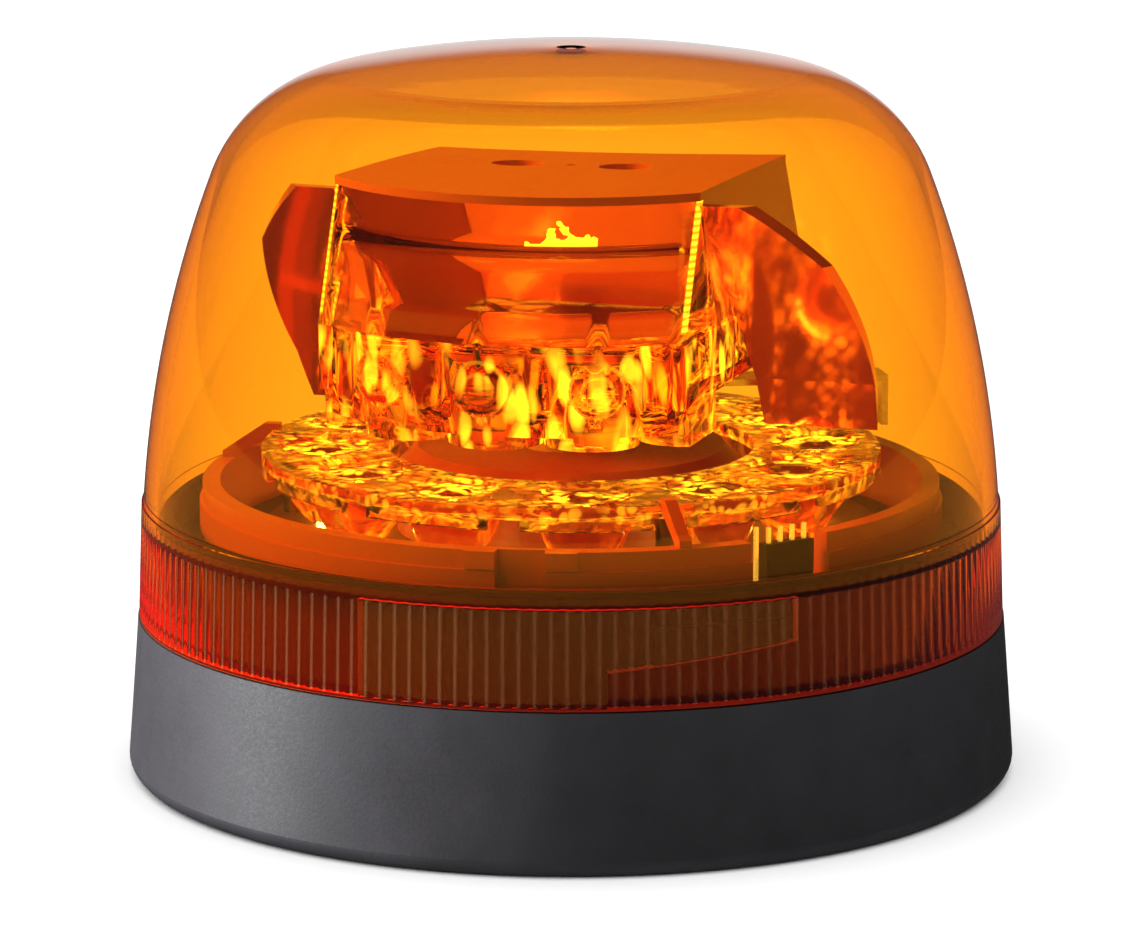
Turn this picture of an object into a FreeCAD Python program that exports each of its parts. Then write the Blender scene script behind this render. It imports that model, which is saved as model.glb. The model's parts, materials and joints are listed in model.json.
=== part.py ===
# Rotating beacon: an amber bayonet dome over a turning prism, a ring of collimated lamps and a black base.
# Millimetres. +Z is up, the origin is the centre of the foot, and the front of the base faces -Y.
import FreeCAD, Part
import math
import os

Vector = FreeCAD.Vector
AXIS = Vector(0, 0, 1)

# ---- base housing ----
bolt_circle_radius = 65.0    # the mounting sets the size of the base
foot_margin = 17.5           # from the bolt circle out to the foot's widest
foot_draft = 2.0             # how far the wall leans in up to the shoulder
shoulder_height = 29.1       # where the dome stands
foot_round = 3.0
base_wall = 3.2
floor_thickness = 4.0
collar_setback = 4.3         # from the shoulder's edge in to the bayonet collar
collar_wall = 2.6
collar_drop = 1.2            # below the dome's ridge
collar_chamfer = 0.6
shelf_thickness = 3.1        # joins the outer wall to the collar

# ---- mounting ----
bolt_count = 3
bolt_start_angle = 90.0
insert_bore_radius = 3.4     # tapping size of an 8 mm thread
insert_radius = 5.5
insert_length = 14.0
insert_groove_width = 1.0
insert_groove_depth = 0.5
boss_wall = 2.8
boss_cap = 3.0               # closes the boss over the insert
gasket_margin = 2.1          # from the foot's round
gasket_width = 5.0
gasket_thickness = 2.0
pocket_inner_radius = 20.0
pocket_margin = 4.5          # to the thread inserts
pocket_depth = 1.4
pocket_count = 12
pocket_rib_width = 2.6
vent_radius = 6.0
vent_stem_radius = 3.0
vent_distance = 37.0
vent_angle = 75.0
vent_height = 1.3
vent_clearance = 2.5         # below the control board
vent_slot_width = 0.8
vent_slot_depth = 0.5
grommet_distance = 40.0
grommet_angle = 45.0
grommet_bore_radius = 3.0
grommet_lip = 1.2            # wall of the soft lip round the bore
grommet_neck_radius = 5.4
grommet_flange_radius = 7.4
grommet_flange = 1.6
grommet_recess = 0.3         # keeps the lower flange clear of the panel
grommet_rise = 6.0           # above the floor
cable_way_radius = 6.5       # hole in the control board above the grommet

# ---- dome ----
dome_gap = 0.3               # between the shoulder and the dome's lower edge
skirt_setback = 0.2          # from the shoulder's edge
skirt_draft = 0.75
skirt_height = 21.6          # shoulder to ridge
ridge_step = 0.35
dome_wall = 2.6
side_lean = 3.76             # degrees from upright at the ridge
side_arc_radius = 208.5
side_sweep = 17.1
shoulder_arc_radius = 30.0
shoulder_sweep = 58.6
collar_clearance = 0.5       # between the collar and the dome's skirt
skirt_blend = 2.0            # height over which the bore meets the dome's inside
flute_count = 180
flute_depth = 0.28
flute_margin_low = 0.5
flute_margin_high = 3.6
gate_radius = 2.6
gate_depth = 0.7
gate_nib_radius = 0.9
gate_nib_height = 0.45

# ---- bayonet ----
bayonet_count = 3
recess_depth = 1.8           # into the skirt
recess_drop = 3.7            # below the ridge
recess_start = -28.0         # degrees from the front, positive towards +X
recess_end = 30.0
ramp_start = 4.6
ramp_rise_low = 6.7          # above the shoulder
ramp_rise_high = 10.1
lug_start = 10.5
lug_end = 28.5
lug_drop = 3.6               # below the recess
lug_clearance = 0.15
lug_radial_clearance = 0.3
tongue_angle = 35.6
tongue_width = 0.9
tongue_slit = 0.55
tongue_height = 5.0

# ---- dome seal ----
seal_margin = 0.6            # from the shoulder's edge
seal_width = 1.5
seal_groove_depth = 1.8
seal_clearance = 0.02

# ---- heat sink and its posts ----
plate_drop = 6.0             # below the collar's top
plate_thickness = 3.5
plate_clearance = 0.4        # to the collar's inside
plate_hole_radius = 12.0
post_radius = 2.9
post_setback = 2.6           # from the plate's edge
post_web = 1.8
post_angles = (45.0, 135.0, 225.0, 315.0)
fin_count = 16
fin_clearance = 7.6          # to the motor
fin_setback = 13.2           # from the plate's edge
fin_thickness = 1.6
fin_height = 6.0
screw_hole_radius = 1.3

# ---- boards ----
board_thickness = 1.6
control_board_margin = 10.3  # to the base's wall
control_board_hole_radius = 14.0
board_cut_clearance = 0.8
standoff_radius = 3.2
board_clearance = 2.0        # below the motor's shaft
standoff_circle_radius = 40.0
standoff_angles = (20.0, 160.0, 200.0, 340.0)
led_board_margin = 0.2       # beyond the optic
led_board_hole_radius = 24.0
tongue_board_width = 13.0
tongue_board_reach = 4.0     # beyond the header
header_angle = 34.5          # degrees from the front, towards +X
header_setback = 2.2         # from the carrier's outside
header_pitch = 2.54
header_ways = 4
header_depth = 2.54
header_height = 8.9
pin_side = 0.64
pin_rise = 2.8
pin_hold = 3.0               # length of a pin inside the header
guide_pin_rise = 0.4         # the guide pin above the others
link_width = 10.2
link_depth = 5.0
component_setback = 19.0     # from the control board's edge
can_radius = 4.0
can_height = 11.0
can_angles = (60.0, 78.0, 96.0)
choke_radius = 7.0
choke_bore_radius = 2.6
choke_height = 8.0
choke_angle = 125.0
chip_length = 6.0
chip_width = 5.2
chip_height = 2.0
chip_angles = (228.0, 240.0, 252.0, 288.0, 300.0, 312.0)
driver_length = 9.0
driver_height = 1.4
driver_angle = 270.0

# ---- lamps and collimators ----
lamp_count = 12
lamp_start_angle = 3.0       # degrees from the front
lamp_setback = 11.8          # lamp circle, from the optic's rim
lamp_side = 3.5
lamp_base_height = 0.8
lamp_dome_radius = 1.4
optic_setback = 7.7          # optic's rim, from the carrier's inside
optic_ring_width = 23.3
optic_rise = 16.8            # optic's top above the plate
optic_thickness = 2.3
cone_top_radius = 8.6
cone_belly = 1.3             # how far the cone's middle stands in from its top
cone_foot_radius = 3.4
cone_foot_clearance = 1.4    # above the lamp board
cone_pocket_radius = 2.3
cone_pocket_depth = 3.0
cup_radius = 8.2
cup_depth = 0.5
cup_lens_radius = 3.4
cup_lens_height = 0.9
rim_skirt_wall = 1.5
rim_skirt_height = 2.0
rim_notch_width = 6.0
leg_radius = 1.8
leg_setback = 3.8            # from the optic's rim
leg_count = 3

# ---- optic carrier ----
carrier_setback = 5.0        # from the plate's edge
carrier_wall = 3.2
carrier_height = 11.4
carrier_step = 0.6
carrier_step_foot = 2.7      # above the plate, clear of the plate screws' heads
carrier_step_drop = 3.4      # below the carrier's top
carrier_gap_start = 27.2
carrier_gap_end = 40.8
arm_angles = (17.0, 137.0, 257.0)
arm_width = 2.2
arm_thickness = 1.7
arm_nose = 1.2
arm_root = 3.0
clip_pocket_angle = -7.4
clip_pocket_width = 8.6
clip_pocket_depth = 1.9
clip_pad_width = 5.6
clip_pad_height = 3.2
clip_pad_proud = 0.8
foot_ear_radius = 3.6
foot_ear_thickness = 2.0
foot_ear_angles = (75.0, 195.0, 315.0)

# ---- centre cover ----
cover_clearance = 1.6        # to the optic's inner edge
cover_wall = 2.0
cover_rise = 0.2             # above the optic
cover_bore_clearance = 2.0   # round the hub's neck
cover_round = 4.0

# ---- motor ----
shaft_radius = 2.5
shaft_clearance = 1.0        # below the rotor's floor
shaft_tail = 0.4             # below the yoke
running_clearance = 0.03
bearing_radius = 8.0
bearing_height = 5.0
bearing_shield_wall = 1.6
bearing_shield_depth = 0.3
bearing_lip = 0.5
bearing_lip_width = 1.2
bearing_tube_wall = 1.6
bearing_tube_length = 24.6
bearing_tube_rise = 1.5      # above the plate
tube_flange_radius = 17.0
tube_flange_thickness = 3.2
motor_screw_circle_radius = 14.2
motor_screw_bite = 2.5       # into the flange
stator_drop = 20.0           # its foot below the plate's underside
stator_height = 11.5
stator_radius = 18.6
stator_hub_wall = 1.8
stator_teeth = 9
tooth_start_angle = 10.0
tooth_width = 3.0
tooth_shoe = 1.4
tooth_shoe_angle = 33.0
coil_build = 1.5
coil_gap = 1.2               # degrees left free at each side of a slot
coil_clearance = 0.5
air_gap = 0.5
magnet_thickness = 1.7
magnet_foot_gap = 1.5
magnet_overhang = 1.0
yoke_wall = 1.6
yoke_gap = 4.4               # its floor below the stator
yoke_hub_radius = 6.0
yoke_hub_height = 2.2
clip_ring_wall = 1.7
clip_ring_thickness = 0.7
clip_ring_gap = 0.3
clip_ring_slot = 2.0

# ---- rotor, built facing -Y and then turned to its rest angle ----
rotor_rest_angle = -18.0
rotor_setback = 0.6          # its sweep inside the optic's rim
rotor_rise = 8.7             # lower front lenses above the optic
wing_rise = 3.7              # side reflectors above the optic
floor_rise = 18.2            # floor above the optic
window_rise = 9.5            # window's foot above the floor
window_height = 23.9
box_setback = 22.7           # box's sides, from the rotor's sweep
box_wall = 2.2
window_foot_setback = 3.7    # from the rotor's sweep
window_top_setback = 10.7
window_wall = 2.6
window_step = 0.35           # thicker band along the window's top
window_step_height = 8.4
box_floor_thickness = 2.5
cover_plate_thickness = 1.5
cover_plate_lip = 0.5
cover_plate_rear = 24.4
rear_slope = 0.62            # rear wall's run for each millimetre down
access_hole_radius = 4.8
centre_mark_radius = 0.9
centre_mark_depth = 0.4
rear_mirror_thickness = 1.8
fit_gap = 0.15
hub_screw_distance = 10.3
hub_screw_hole_radius = 2.1
hub_screw_head_radius = 3.5
hub_screw_head_height = 3.8
hub_screw_length = 5.6
floor_bore_clearance = 1.5
hub_neck_radius = 8.0
hub_neck_gap = 5.0           # above the bearing tube
hub_foot_chamfer = 1.5
hub_flange_radius = 18.0
hub_flange_thickness = 3.5
lobe_count = 5
lobe_spacing = 23.0          # degrees
lobe_top_radius = 10.4
lobe_foot_radius = 8.4
lobe_web_inset = 2.4
lens_radius = 5.0
lens_bulge = 1.1
lens_rise = 11.0             # lens centre above the lobes' foot
wing_drop = 2.3              # reflectors' tops, below the cover's top
wing_margin = 1.0            # reflector's back behind the window's top corner
wing_thickness = 2.2
wing_foot_depth = 6.5        # thicker foot, front to back
wing_front_slope = 1.54      # rise of the foot's front for each millimetre forward
wing_top_radius = 52.2
wing_lean_height = 12.0      # the reflector's outside leans in over this height
weight_width = 34.0
weight_depth = 11.0
weight_height = 7.0
weight_setback = 2.0         # from the floor's rear edge
weight_round = 1.5
flag_angle = 27.7
flag_width = 8.0
flag_thickness = 1.2
flag_overhang = 2.1          # beyond the optic's rim
flag_clearance = 2.3         # blade's foot above the optic
flag_collar_wall = 5.0
flag_gap = 0.5               # below the hub's flange

# ---- small screws, shared by boards, plate and carrier ----
small_screw_head_radius = 2.1
small_screw_head_height = 1.5
small_screw_length = 8.0
board_screw_bite = 5.0

# ---- places that follow from the sizes above ----
over = 1.0                   # how far a cutter runs past a face
foot_radius = bolt_circle_radius + foot_margin
beyond = 2 * foot_radius     # longer than anything that a cutter has to pass
shoulder_radius = foot_radius - foot_draft
skirt_foot_radius = shoulder_radius - skirt_setback
skirt_top_radius = skirt_foot_radius - skirt_draft
dome_radius = skirt_top_radius - ridge_step
collar_radius = shoulder_radius - collar_setback
skirt_bore_radius = collar_radius + collar_clearance
recess_radius = skirt_bore_radius + recess_depth
seal_outer_radius = shoulder_radius - seal_margin
seal_inner_radius = seal_outer_radius - seal_width
gasket_outer_radius = foot_radius - foot_round - gasket_margin
gasket_inner_radius = gasket_outer_radius - gasket_width
pocket_outer_radius = bolt_circle_radius - insert_radius - pocket_margin
plate_radius = collar_radius - collar_wall - plate_clearance
post_circle_radius = plate_radius - post_setback
carrier_radius = plate_radius - carrier_setback
optic_outer_radius = carrier_radius - carrier_wall - optic_setback
optic_inner_radius = optic_outer_radius - optic_ring_width
lamp_circle_radius = optic_outer_radius - lamp_setback
led_board_radius = optic_outer_radius + led_board_margin
header_radius = carrier_radius - header_setback
cover_radius = optic_inner_radius - cover_clearance
control_board_radius = foot_radius - base_wall - control_board_margin
rotor_radius = optic_outer_radius - rotor_setback
box_half_width = rotor_radius - box_setback
window_foot_radius = rotor_radius - window_foot_setback
window_top_radius = rotor_radius - window_top_setback
lobe_circle_radius = window_foot_radius - lobe_top_radius
magnet_outer_radius = stator_radius + air_gap + magnet_thickness
yoke_radius = magnet_outer_radius + yoke_wall
fin_inner_radius = yoke_radius + fin_clearance
fin_outer_radius = plate_radius - fin_setback
bearing_tube_radius = bearing_radius + bearing_tube_wall
flag_radius = optic_outer_radius + flag_overhang

dome_foot = shoulder_height + dome_gap
ridge_height = shoulder_height + skirt_height
collar_top = ridge_height - collar_drop
recess_top = ridge_height - recess_drop
ramp_low = shoulder_height + ramp_rise_low
ramp_high = shoulder_height + ramp_rise_high
lug_top = recess_top - lug_drop
grommet_top = floor_thickness + grommet_rise
plate_top = collar_top - plate_drop
plate_bottom = plate_top - plate_thickness
led_board_top = plate_top + board_thickness
carrier_top = plate_top + carrier_height
header_top = led_board_top + header_height
pin_top = header_top + pin_rise
optic_top = plate_top + optic_rise
optic_bottom = optic_top - optic_thickness
cone_foot_height = led_board_top + cone_foot_clearance
cover_top = optic_top + cover_rise
bearing_tube_top = plate_top + bearing_tube_rise
bearing_tube_foot = bearing_tube_top - bearing_tube_length
stator_foot = plate_bottom - stator_drop
yoke_foot = stator_foot - yoke_gap - yoke_wall
shaft_foot = yoke_foot - shaft_tail
control_board_top = shaft_foot - board_clearance
control_board_bottom = control_board_top - board_thickness
rotor_foot = optic_top + rotor_rise
wing_foot = optic_top + wing_rise
box_floor_top = optic_top + floor_rise
box_floor_bottom = box_floor_top - box_floor_thickness
window_foot = box_floor_top + window_rise
cover_plate_bottom = window_foot + window_height
cover_plate_top = cover_plate_bottom + cover_plate_thickness
wing_top = cover_plate_top - wing_drop
window_corner = -math.sqrt(window_top_radius ** 2 - box_half_width ** 2)    # window's top corners
wing_plane = cover_plate_bottom + window_corner + wing_margin    # y + z on the reflectors' backs
rear_slope_foot = cover_plate_rear + rear_slope * (cover_plate_bottom - box_floor_top)
hub_neck_foot = bearing_tube_top + hub_neck_gap
shaft_top = box_floor_bottom - shaft_clearance
flag_top = box_floor_bottom - hub_flange_thickness - flag_gap
flag_foot = optic_top + flag_clearance


# ---- helpers ----
def cylinder(radius, low, high, x=0.0, y=0.0):
    return Part.makeCylinder(radius, high - low, Vector(x, y, low), AXIS)


def ring(outer, inner, low, high):
    return cylinder(outer, low, high).cut(cylinder(inner, low - over, high + over))


def cone(low_radius, high_radius, low, high, x=0.0, y=0.0):
    return Part.makeCone(low_radius, high_radius, high - low, Vector(x, y, low), AXIS)


def box(x_low, x_high, y_low, y_high, z_low, z_high):
    return Part.makeBox(x_high - x_low, y_high - y_low, z_high - z_low, Vector(x_low, y_low, z_low))


def turned(shape, degrees):
    copy = shape.copy()
    copy.rotate(Vector(0, 0, 0), AXIS, degrees)
    return copy


def around(shape, angles):
    """One copy at each angle, in degrees anticlockwise from above."""
    return [turned(shape, angle) for angle in angles]


def evenly(count, start=0.0):
    return [start + 360.0 * step / count for step in range(count)]


def polar(radius, degrees):
    """A point on a circle: 0 is +X, anticlockwise."""
    return radius * math.cos(math.radians(degrees)), radius * math.sin(math.radians(degrees))


def front(degrees):
    """An angle measured from the front towards +X, as an angle from +X."""
    return degrees - 90.0


def sector(outer, inner, low, high, start, end):
    """Part of a ring between two angles from +X."""
    height = high - low
    whole = Part.makeCylinder(outer, height, Vector(0, 0, low), AXIS, end - start)
    core = Part.makeCylinder(inner, height + 2 * over, Vector(0, 0, low - over), AXIS)
    return turned(whole.cut(core), start)


def fused(shapes):
    first, rest = shapes[0], shapes[1:]
    return first.multiFuse(rest).removeSplitter() if rest else first


def without(shape, tools):
    return shape.cut(tools) if tools else shape


def spun(edges):
    """A solid of revolution about Z from a closed profile in the XZ plane."""
    face = Part.Face(Part.Wire(Part.__sortEdges__(edges)))
    solid = face.revolve(Vector(0, 0, 0), AXIS, 360)
    return Part.Solid(solid.Shells[0]) if solid.ShapeType != "Solid" else solid


def line(start, end):
    return Part.LineSegment(Vector(start[0], 0, start[1]), Vector(end[0], 0, end[1])).toShape()


def spun_polygon(points):
    closed = points + points[:1]
    return spun([line(a, b) for a, b in zip(closed, closed[1:])])


def pulled(points, height):
    """A straight block from a closed outline of (x, y, z) points, pulled along a vector."""
    corners = [Vector(*p) for p in points]
    face = Part.Face(Part.makePolygon(corners + corners[:1]))
    return face.extrude(Vector(*height))


def screw(x, y, seat, head_radius, head_height, length, shank_radius):
    """A pan-head screw with a cross-drive socket, its head above seat."""
    bevel = head_height * 0.35
    head = cylinder(head_radius, seat, seat + head_height - bevel, x, y)
    crown = cone(head_radius, head_radius - bevel * 1.4, seat + head_height - bevel, seat + head_height, x, y)
    slot = head_radius * 0.6
    bar = head_radius * 0.2
    deep = seat + head_height * 0.5
    high = seat + head_height + over
    shank = cylinder(shank_radius, seat - length, seat, x, y)
    return head.fuse([crown, shank]).removeSplitter().cut([
        box(x - slot, x + slot, y - bar, y + bar, deep, high),
        box(x - bar, x + bar, y - slot, y + slot, deep, high)])


# ---- base ----
def housing_profile():
    """The base housing's section: floor, tapered wall, shoulder with seal groove, collar."""
    inner_foot = foot_radius - base_wall
    inner_shoulder = shoulder_radius - base_wall
    shelf = shoulder_height - shelf_thickness
    collar_inner = collar_radius - collar_wall
    groove = shoulder_height - seal_groove_depth
    edge = math.sqrt(0.5) * foot_round
    points = [(foot_radius, foot_round), (shoulder_radius, shoulder_height),
              (seal_outer_radius, shoulder_height), (seal_outer_radius, groove),
              (seal_inner_radius, groove), (seal_inner_radius, shoulder_height),
              (collar_radius, shoulder_height), (collar_radius, collar_top - collar_chamfer),
              (collar_radius - collar_chamfer, collar_top), (collar_inner, collar_top),
              (collar_inner, shelf), (inner_shoulder, shelf),
              (inner_foot, floor_thickness), (0, floor_thickness), (0, 0), (foot_radius - foot_round, 0)]
    edges = [line(a, b) for a, b in zip(points, points[1:])]
    centre = (foot_radius - foot_round, foot_round)
    middle = Vector(centre[0] + edge, 0, centre[1] - edge)
    corner = Part.Arc(Vector(points[-1][0], 0, 0), middle, Vector(foot_radius, 0, foot_round))
    return edges + [corner.toShape()]


def ramp_cutter(offset):
    """Everything above the bayonet ramp's sloping plane, raised by offset."""
    low_x, low_y = polar(skirt_bore_radius, front(ramp_start))
    high_x, high_y = polar(skirt_bore_radius, front(recess_end))
    along = Vector(high_x - low_x, high_y - low_y, ramp_high - ramp_low)
    outward = Vector(*polar(1.0, front((ramp_start + recess_end) / 2)), 0)
    start = Vector(low_x, low_y, ramp_low + offset) - along - outward * foot_radius
    corners = [start, start + along * 3, start + along * 3 + outward * beyond, start + outward * beyond]
    face = Part.Face(Part.makePolygon(corners + corners[:1]))
    return face.extrude(Vector(0, 0, beyond))


def bayonet_lug():
    lug = sector(recess_radius - lug_radial_clearance, collar_radius - over, shoulder_height, lug_top,
                 front(lug_start), front(lug_end))
    return lug.common(ramp_cutter(lug_clearance))


def underside_pockets():
    """Shallow coring of the floor, left as ribs between."""
    half = math.degrees(pocket_rib_width / 2 / pocket_outer_radius)
    step = 360.0 / pocket_count
    pocket = sector(pocket_outer_radius, pocket_inner_radius, -over, pocket_depth, half, step - half)
    return around(pocket, evenly(pocket_count))


def vent_place():
    return polar(vent_distance, vent_angle)


def make_base_housing():
    body = spun(housing_profile())
    additions = around(bayonet_lug(), evenly(bayonet_count))
    rooted = floor_thickness - over
    for angle in evenly(bolt_count, bolt_start_angle):
        x, y = polar(bolt_circle_radius, angle)
        additions.append(cylinder(insert_radius + boss_wall, rooted, insert_length + boss_cap, x, y))
    for angle in post_angles:
        x, y = polar(post_circle_radius, angle)
        web = box(post_circle_radius, collar_radius - over, -post_web / 2, post_web / 2,
                  rooted, plate_bottom - over)
        additions += [cylinder(post_radius, rooted, plate_bottom, x, y), turned(web, angle)]
    for angle in standoff_angles:
        x, y = polar(standoff_circle_radius, angle)
        additions.append(cylinder(standoff_radius, rooted, control_board_bottom, x, y))
    return without(fused([body] + additions), underside_cuts() + screw_holes())


def underside_cuts():
    """Everything let into the foot: coring, gasket groove, grommet, vent and insert holes."""
    cuts = underside_pockets()
    cuts.append(ring(gasket_outer_radius, gasket_inner_radius, -over, gasket_thickness))
    through = floor_thickness + over
    x, y = polar(grommet_distance, grommet_angle)
    cuts.append(cylinder(grommet_flange_radius + fit_gap, -over, grommet_recess + grommet_flange, x, y))
    cuts.append(cylinder(grommet_neck_radius, -over, through, x, y))
    x, y = vent_place()
    cuts.append(cylinder(vent_radius + fit_gap, -over, pocket_depth, x, y))
    cuts.append(cylinder(vent_stem_radius, -over, through, x, y))
    for angle in evenly(bolt_count, bolt_start_angle):
        x, y = polar(bolt_circle_radius, angle)
        cuts.append(cylinder(insert_radius, -over, insert_length, x, y))
    return cuts


def screw_holes():
    """Core holes in the posts and the board standoffs."""
    cuts = []
    for angle in post_angles:
        x, y = polar(post_circle_radius, angle)
        depth = small_screw_length - plate_thickness
        cuts.append(cylinder(screw_hole_radius, plate_bottom - depth, plate_bottom + over, x, y))
    for angle in standoff_angles:
        x, y = polar(standoff_circle_radius, angle)
        cuts.append(cylinder(screw_hole_radius, control_board_bottom - board_screw_bite,
                             control_board_bottom + over, x, y))
    return cuts


def make_thread_inserts():
    x, y = polar(bolt_circle_radius, bolt_start_angle)
    one = cylinder(insert_radius, 0, insert_length, x, y)
    for height in (insert_length / 3, insert_length * 2 / 3):
        low, high = height - insert_groove_width / 2, height + insert_groove_width / 2
        groove = cylinder(insert_radius + over, low, high, x, y)
        one = one.cut(groove.cut(cylinder(insert_radius - insert_groove_depth, low, high, x, y)))
    one = one.cut(cylinder(insert_bore_radius, -over, insert_length + over, x, y))
    return Part.makeCompound(around(one, evenly(bolt_count)))


def make_mounting_gasket():
    return ring(gasket_outer_radius, gasket_inner_radius, 0, gasket_thickness)


def make_cable_grommet():
    lower = grommet_recess + grommet_flange
    points = [(grommet_bore_radius, grommet_recess), (grommet_flange_radius, grommet_recess),
              (grommet_flange_radius, lower), (grommet_neck_radius, lower),
              (grommet_neck_radius, floor_thickness), (grommet_flange_radius, floor_thickness),
              (grommet_flange_radius, floor_thickness + grommet_flange),
              (grommet_bore_radius + grommet_lip, floor_thickness + 2 * grommet_flange),
              (grommet_bore_radius + grommet_lip, grommet_top), (grommet_bore_radius, grommet_top)]
    grommet = spun_polygon(points)
    grommet.translate(Vector(*polar(grommet_distance, grommet_angle), 0))
    return grommet


def make_vent_plug():
    x, y = vent_place()
    cap_low = pocket_depth - vent_height
    cap = cylinder(vent_radius, cap_low, pocket_depth, x, y)
    stem = cylinder(vent_stem_radius, pocket_depth, control_board_bottom - vent_clearance, x, y)
    half = vent_slot_width / 2
    slot = box(-vent_radius, vent_radius, -half, half, cap_low - over, cap_low + vent_slot_depth)
    slots = [turned(slot, angle) for angle in (0, 90)]
    for slot in slots:
        slot.translate(Vector(x, y, 0))
    return cap.fuse(stem).cut(slots).removeSplitter()


# ---- dome ----
def dome_knots():
    """Centres, radii and lean angles of the three arcs of the dome's smooth wall."""
    lean = math.radians(side_lean)
    point = (dome_radius, ridge_height)
    arcs = []
    for radius, sweep in ((side_arc_radius, side_sweep), (shoulder_arc_radius, shoulder_sweep)):
        centre = (point[0] - radius * math.cos(lean), point[1] - radius * math.sin(lean))
        end = lean + math.radians(sweep)
        arcs.append((centre, radius, lean, end))
        point = (centre[0] + radius * math.cos(end), centre[1] + radius * math.sin(end))
        lean = end
    cap_radius = point[0] / math.cos(lean)
    arcs.append(((0.0, point[1] - cap_radius * math.sin(lean)), cap_radius, lean, math.pi / 2))
    return arcs


def arc_edges(inset):
    """The dome's wall line, inset from its outside, from the ridge to the axis."""
    edges = []
    for centre, radius, start, end in dome_knots():
        reach = radius - inset
        places = [(centre[0] + reach * math.cos(a), centre[1] + reach * math.sin(a))
                  for a in (start, (start + end) / 2, end)]
        edges.append(Part.Arc(*[Vector(x, 0, z) for x, z in places]).toShape())
    return edges


def dome_top(inset=0.0):
    centre, radius, start, end = dome_knots()[-1]
    return centre[1] + radius - inset


def make_dome():
    outside, inside = arc_edges(0.0), arc_edges(dome_wall)
    inner_start = min((v.Point for v in inside[0].Vertexes), key=lambda p: p.z)
    edges = outside + inside
    edges.append(line((0, dome_top(dome_wall)), (0, dome_top())))
    chain = [(inner_start.x, inner_start.z), (skirt_bore_radius, ridge_height - skirt_blend),
             (skirt_bore_radius, dome_foot), (skirt_foot_radius, dome_foot),
             (skirt_top_radius, ridge_height), (dome_radius, ridge_height)]
    edges += [line(a, b) for a, b in zip(chain, chain[1:])]
    shell = spun(edges)
    return without(shell, [bayonet_recess_all(), flute_cutter(), tongue_slits(), gate_cutter()])


def bayonet_recess_all():
    """The three stepped pockets that the base's lugs enter and turn along."""
    pocket = sector(recess_radius, skirt_bore_radius - over, dome_foot - over, recess_top,
                    front(recess_start), front(recess_end))
    rib = sector(recess_radius + over, skirt_bore_radius - 2 * over, dome_foot - 2 * over, recess_top - over,
                 front(ramp_start), front(recess_end) + 1)
    pocket = pocket.cut(rib.cut(ramp_cutter(0.0)))
    return Part.makeCompound(around(pocket, evenly(bayonet_count)))


def flute_cutter():
    """A tube whose bore is a many-pointed star, so that it leaves upright flutes on the skirt."""
    low, high = dome_foot + flute_margin_low, ridge_height - flute_margin_high
    middle = skirt_foot_radius + (skirt_top_radius - skirt_foot_radius) / 2
    points = []
    for step in range(flute_count):
        crest = polar(middle + flute_depth, 360.0 * step / flute_count)
        root = polar(middle - flute_depth, 360.0 * (step + 0.5) / flute_count)
        points += [(crest[0], crest[1], low), (root[0], root[1], low)]
    star = pulled(points, (0, 0, high - low))
    return cylinder(skirt_foot_radius + over, low, high).cut(star)


def tongue_slits():
    """Two slits that free a thin detent tongue in the skirt's lower edge."""
    reach = tongue_width / 2 + tongue_slit
    cuts = []
    for low, high in ((-reach, -tongue_width / 2), (tongue_width / 2, reach)):
        slit = box(skirt_bore_radius - over, skirt_foot_radius + over, low, high,
                   dome_foot - over, dome_foot + tongue_height)
        cuts.append(turned(slit, front(tongue_angle)))
    return Part.makeCompound(cuts)


def gate_cutter():
    """The shallow moulding-gate recess at the dome's top, with its nib left standing."""
    top = dome_top()
    well = cylinder(gate_radius, top - gate_depth, top + over)
    nib = cylinder(gate_nib_radius, top - gate_depth, top - gate_depth + gate_nib_height)
    return well.cut(nib)


def make_dome_seal():
    low = shoulder_height - seal_groove_depth + seal_clearance
    return ring(seal_outer_radius - seal_clearance, seal_inner_radius + seal_clearance, low, dome_foot)


# ---- heat sink and boards ----
def make_heat_sink():
    plate = cylinder(plate_radius, plate_bottom, plate_top)
    fin = box(fin_inner_radius, fin_outer_radius, -fin_thickness / 2, fin_thickness / 2,
              plate_bottom - fin_height, plate_bottom + over)
    body = fused([plate] + around(fin, evenly(fin_count, 360.0 / fin_count / 2)))
    low, high = plate_bottom - fin_height - over, plate_top + over
    cuts = [cylinder(plate_hole_radius, low, high)]
    places = [polar(post_circle_radius, angle) for angle in post_angles] + ear_places() + motor_screw_places()
    cuts += [cylinder(screw_hole_radius, low, high, x, y) for x, y in places]
    slot = box(header_radius - link_depth / 2 - fit_gap, header_radius + link_depth / 2 + fit_gap,
               -link_width / 2 - fit_gap, link_width / 2 + fit_gap, low, high)
    cuts.append(turned(slot, front(header_angle)))
    return without(body, cuts)


def motor_screw_places():
    return [polar(motor_screw_circle_radius, angle) for angle in evenly(3, 90.0)]


def ear_places():
    """Screw holes of the carrier's inward ears."""
    reach = carrier_radius - carrier_wall - foot_ear_radius
    return [polar(reach, front(a)) for a in foot_ear_angles]


def make_plate_screws():
    parts = []
    for angle in post_angles:
        x, y = polar(post_circle_radius, angle)
        parts.append(screw(x, y, plate_top, small_screw_head_radius, small_screw_head_height,
                           small_screw_length, screw_hole_radius))
    return Part.makeCompound(parts)


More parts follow.
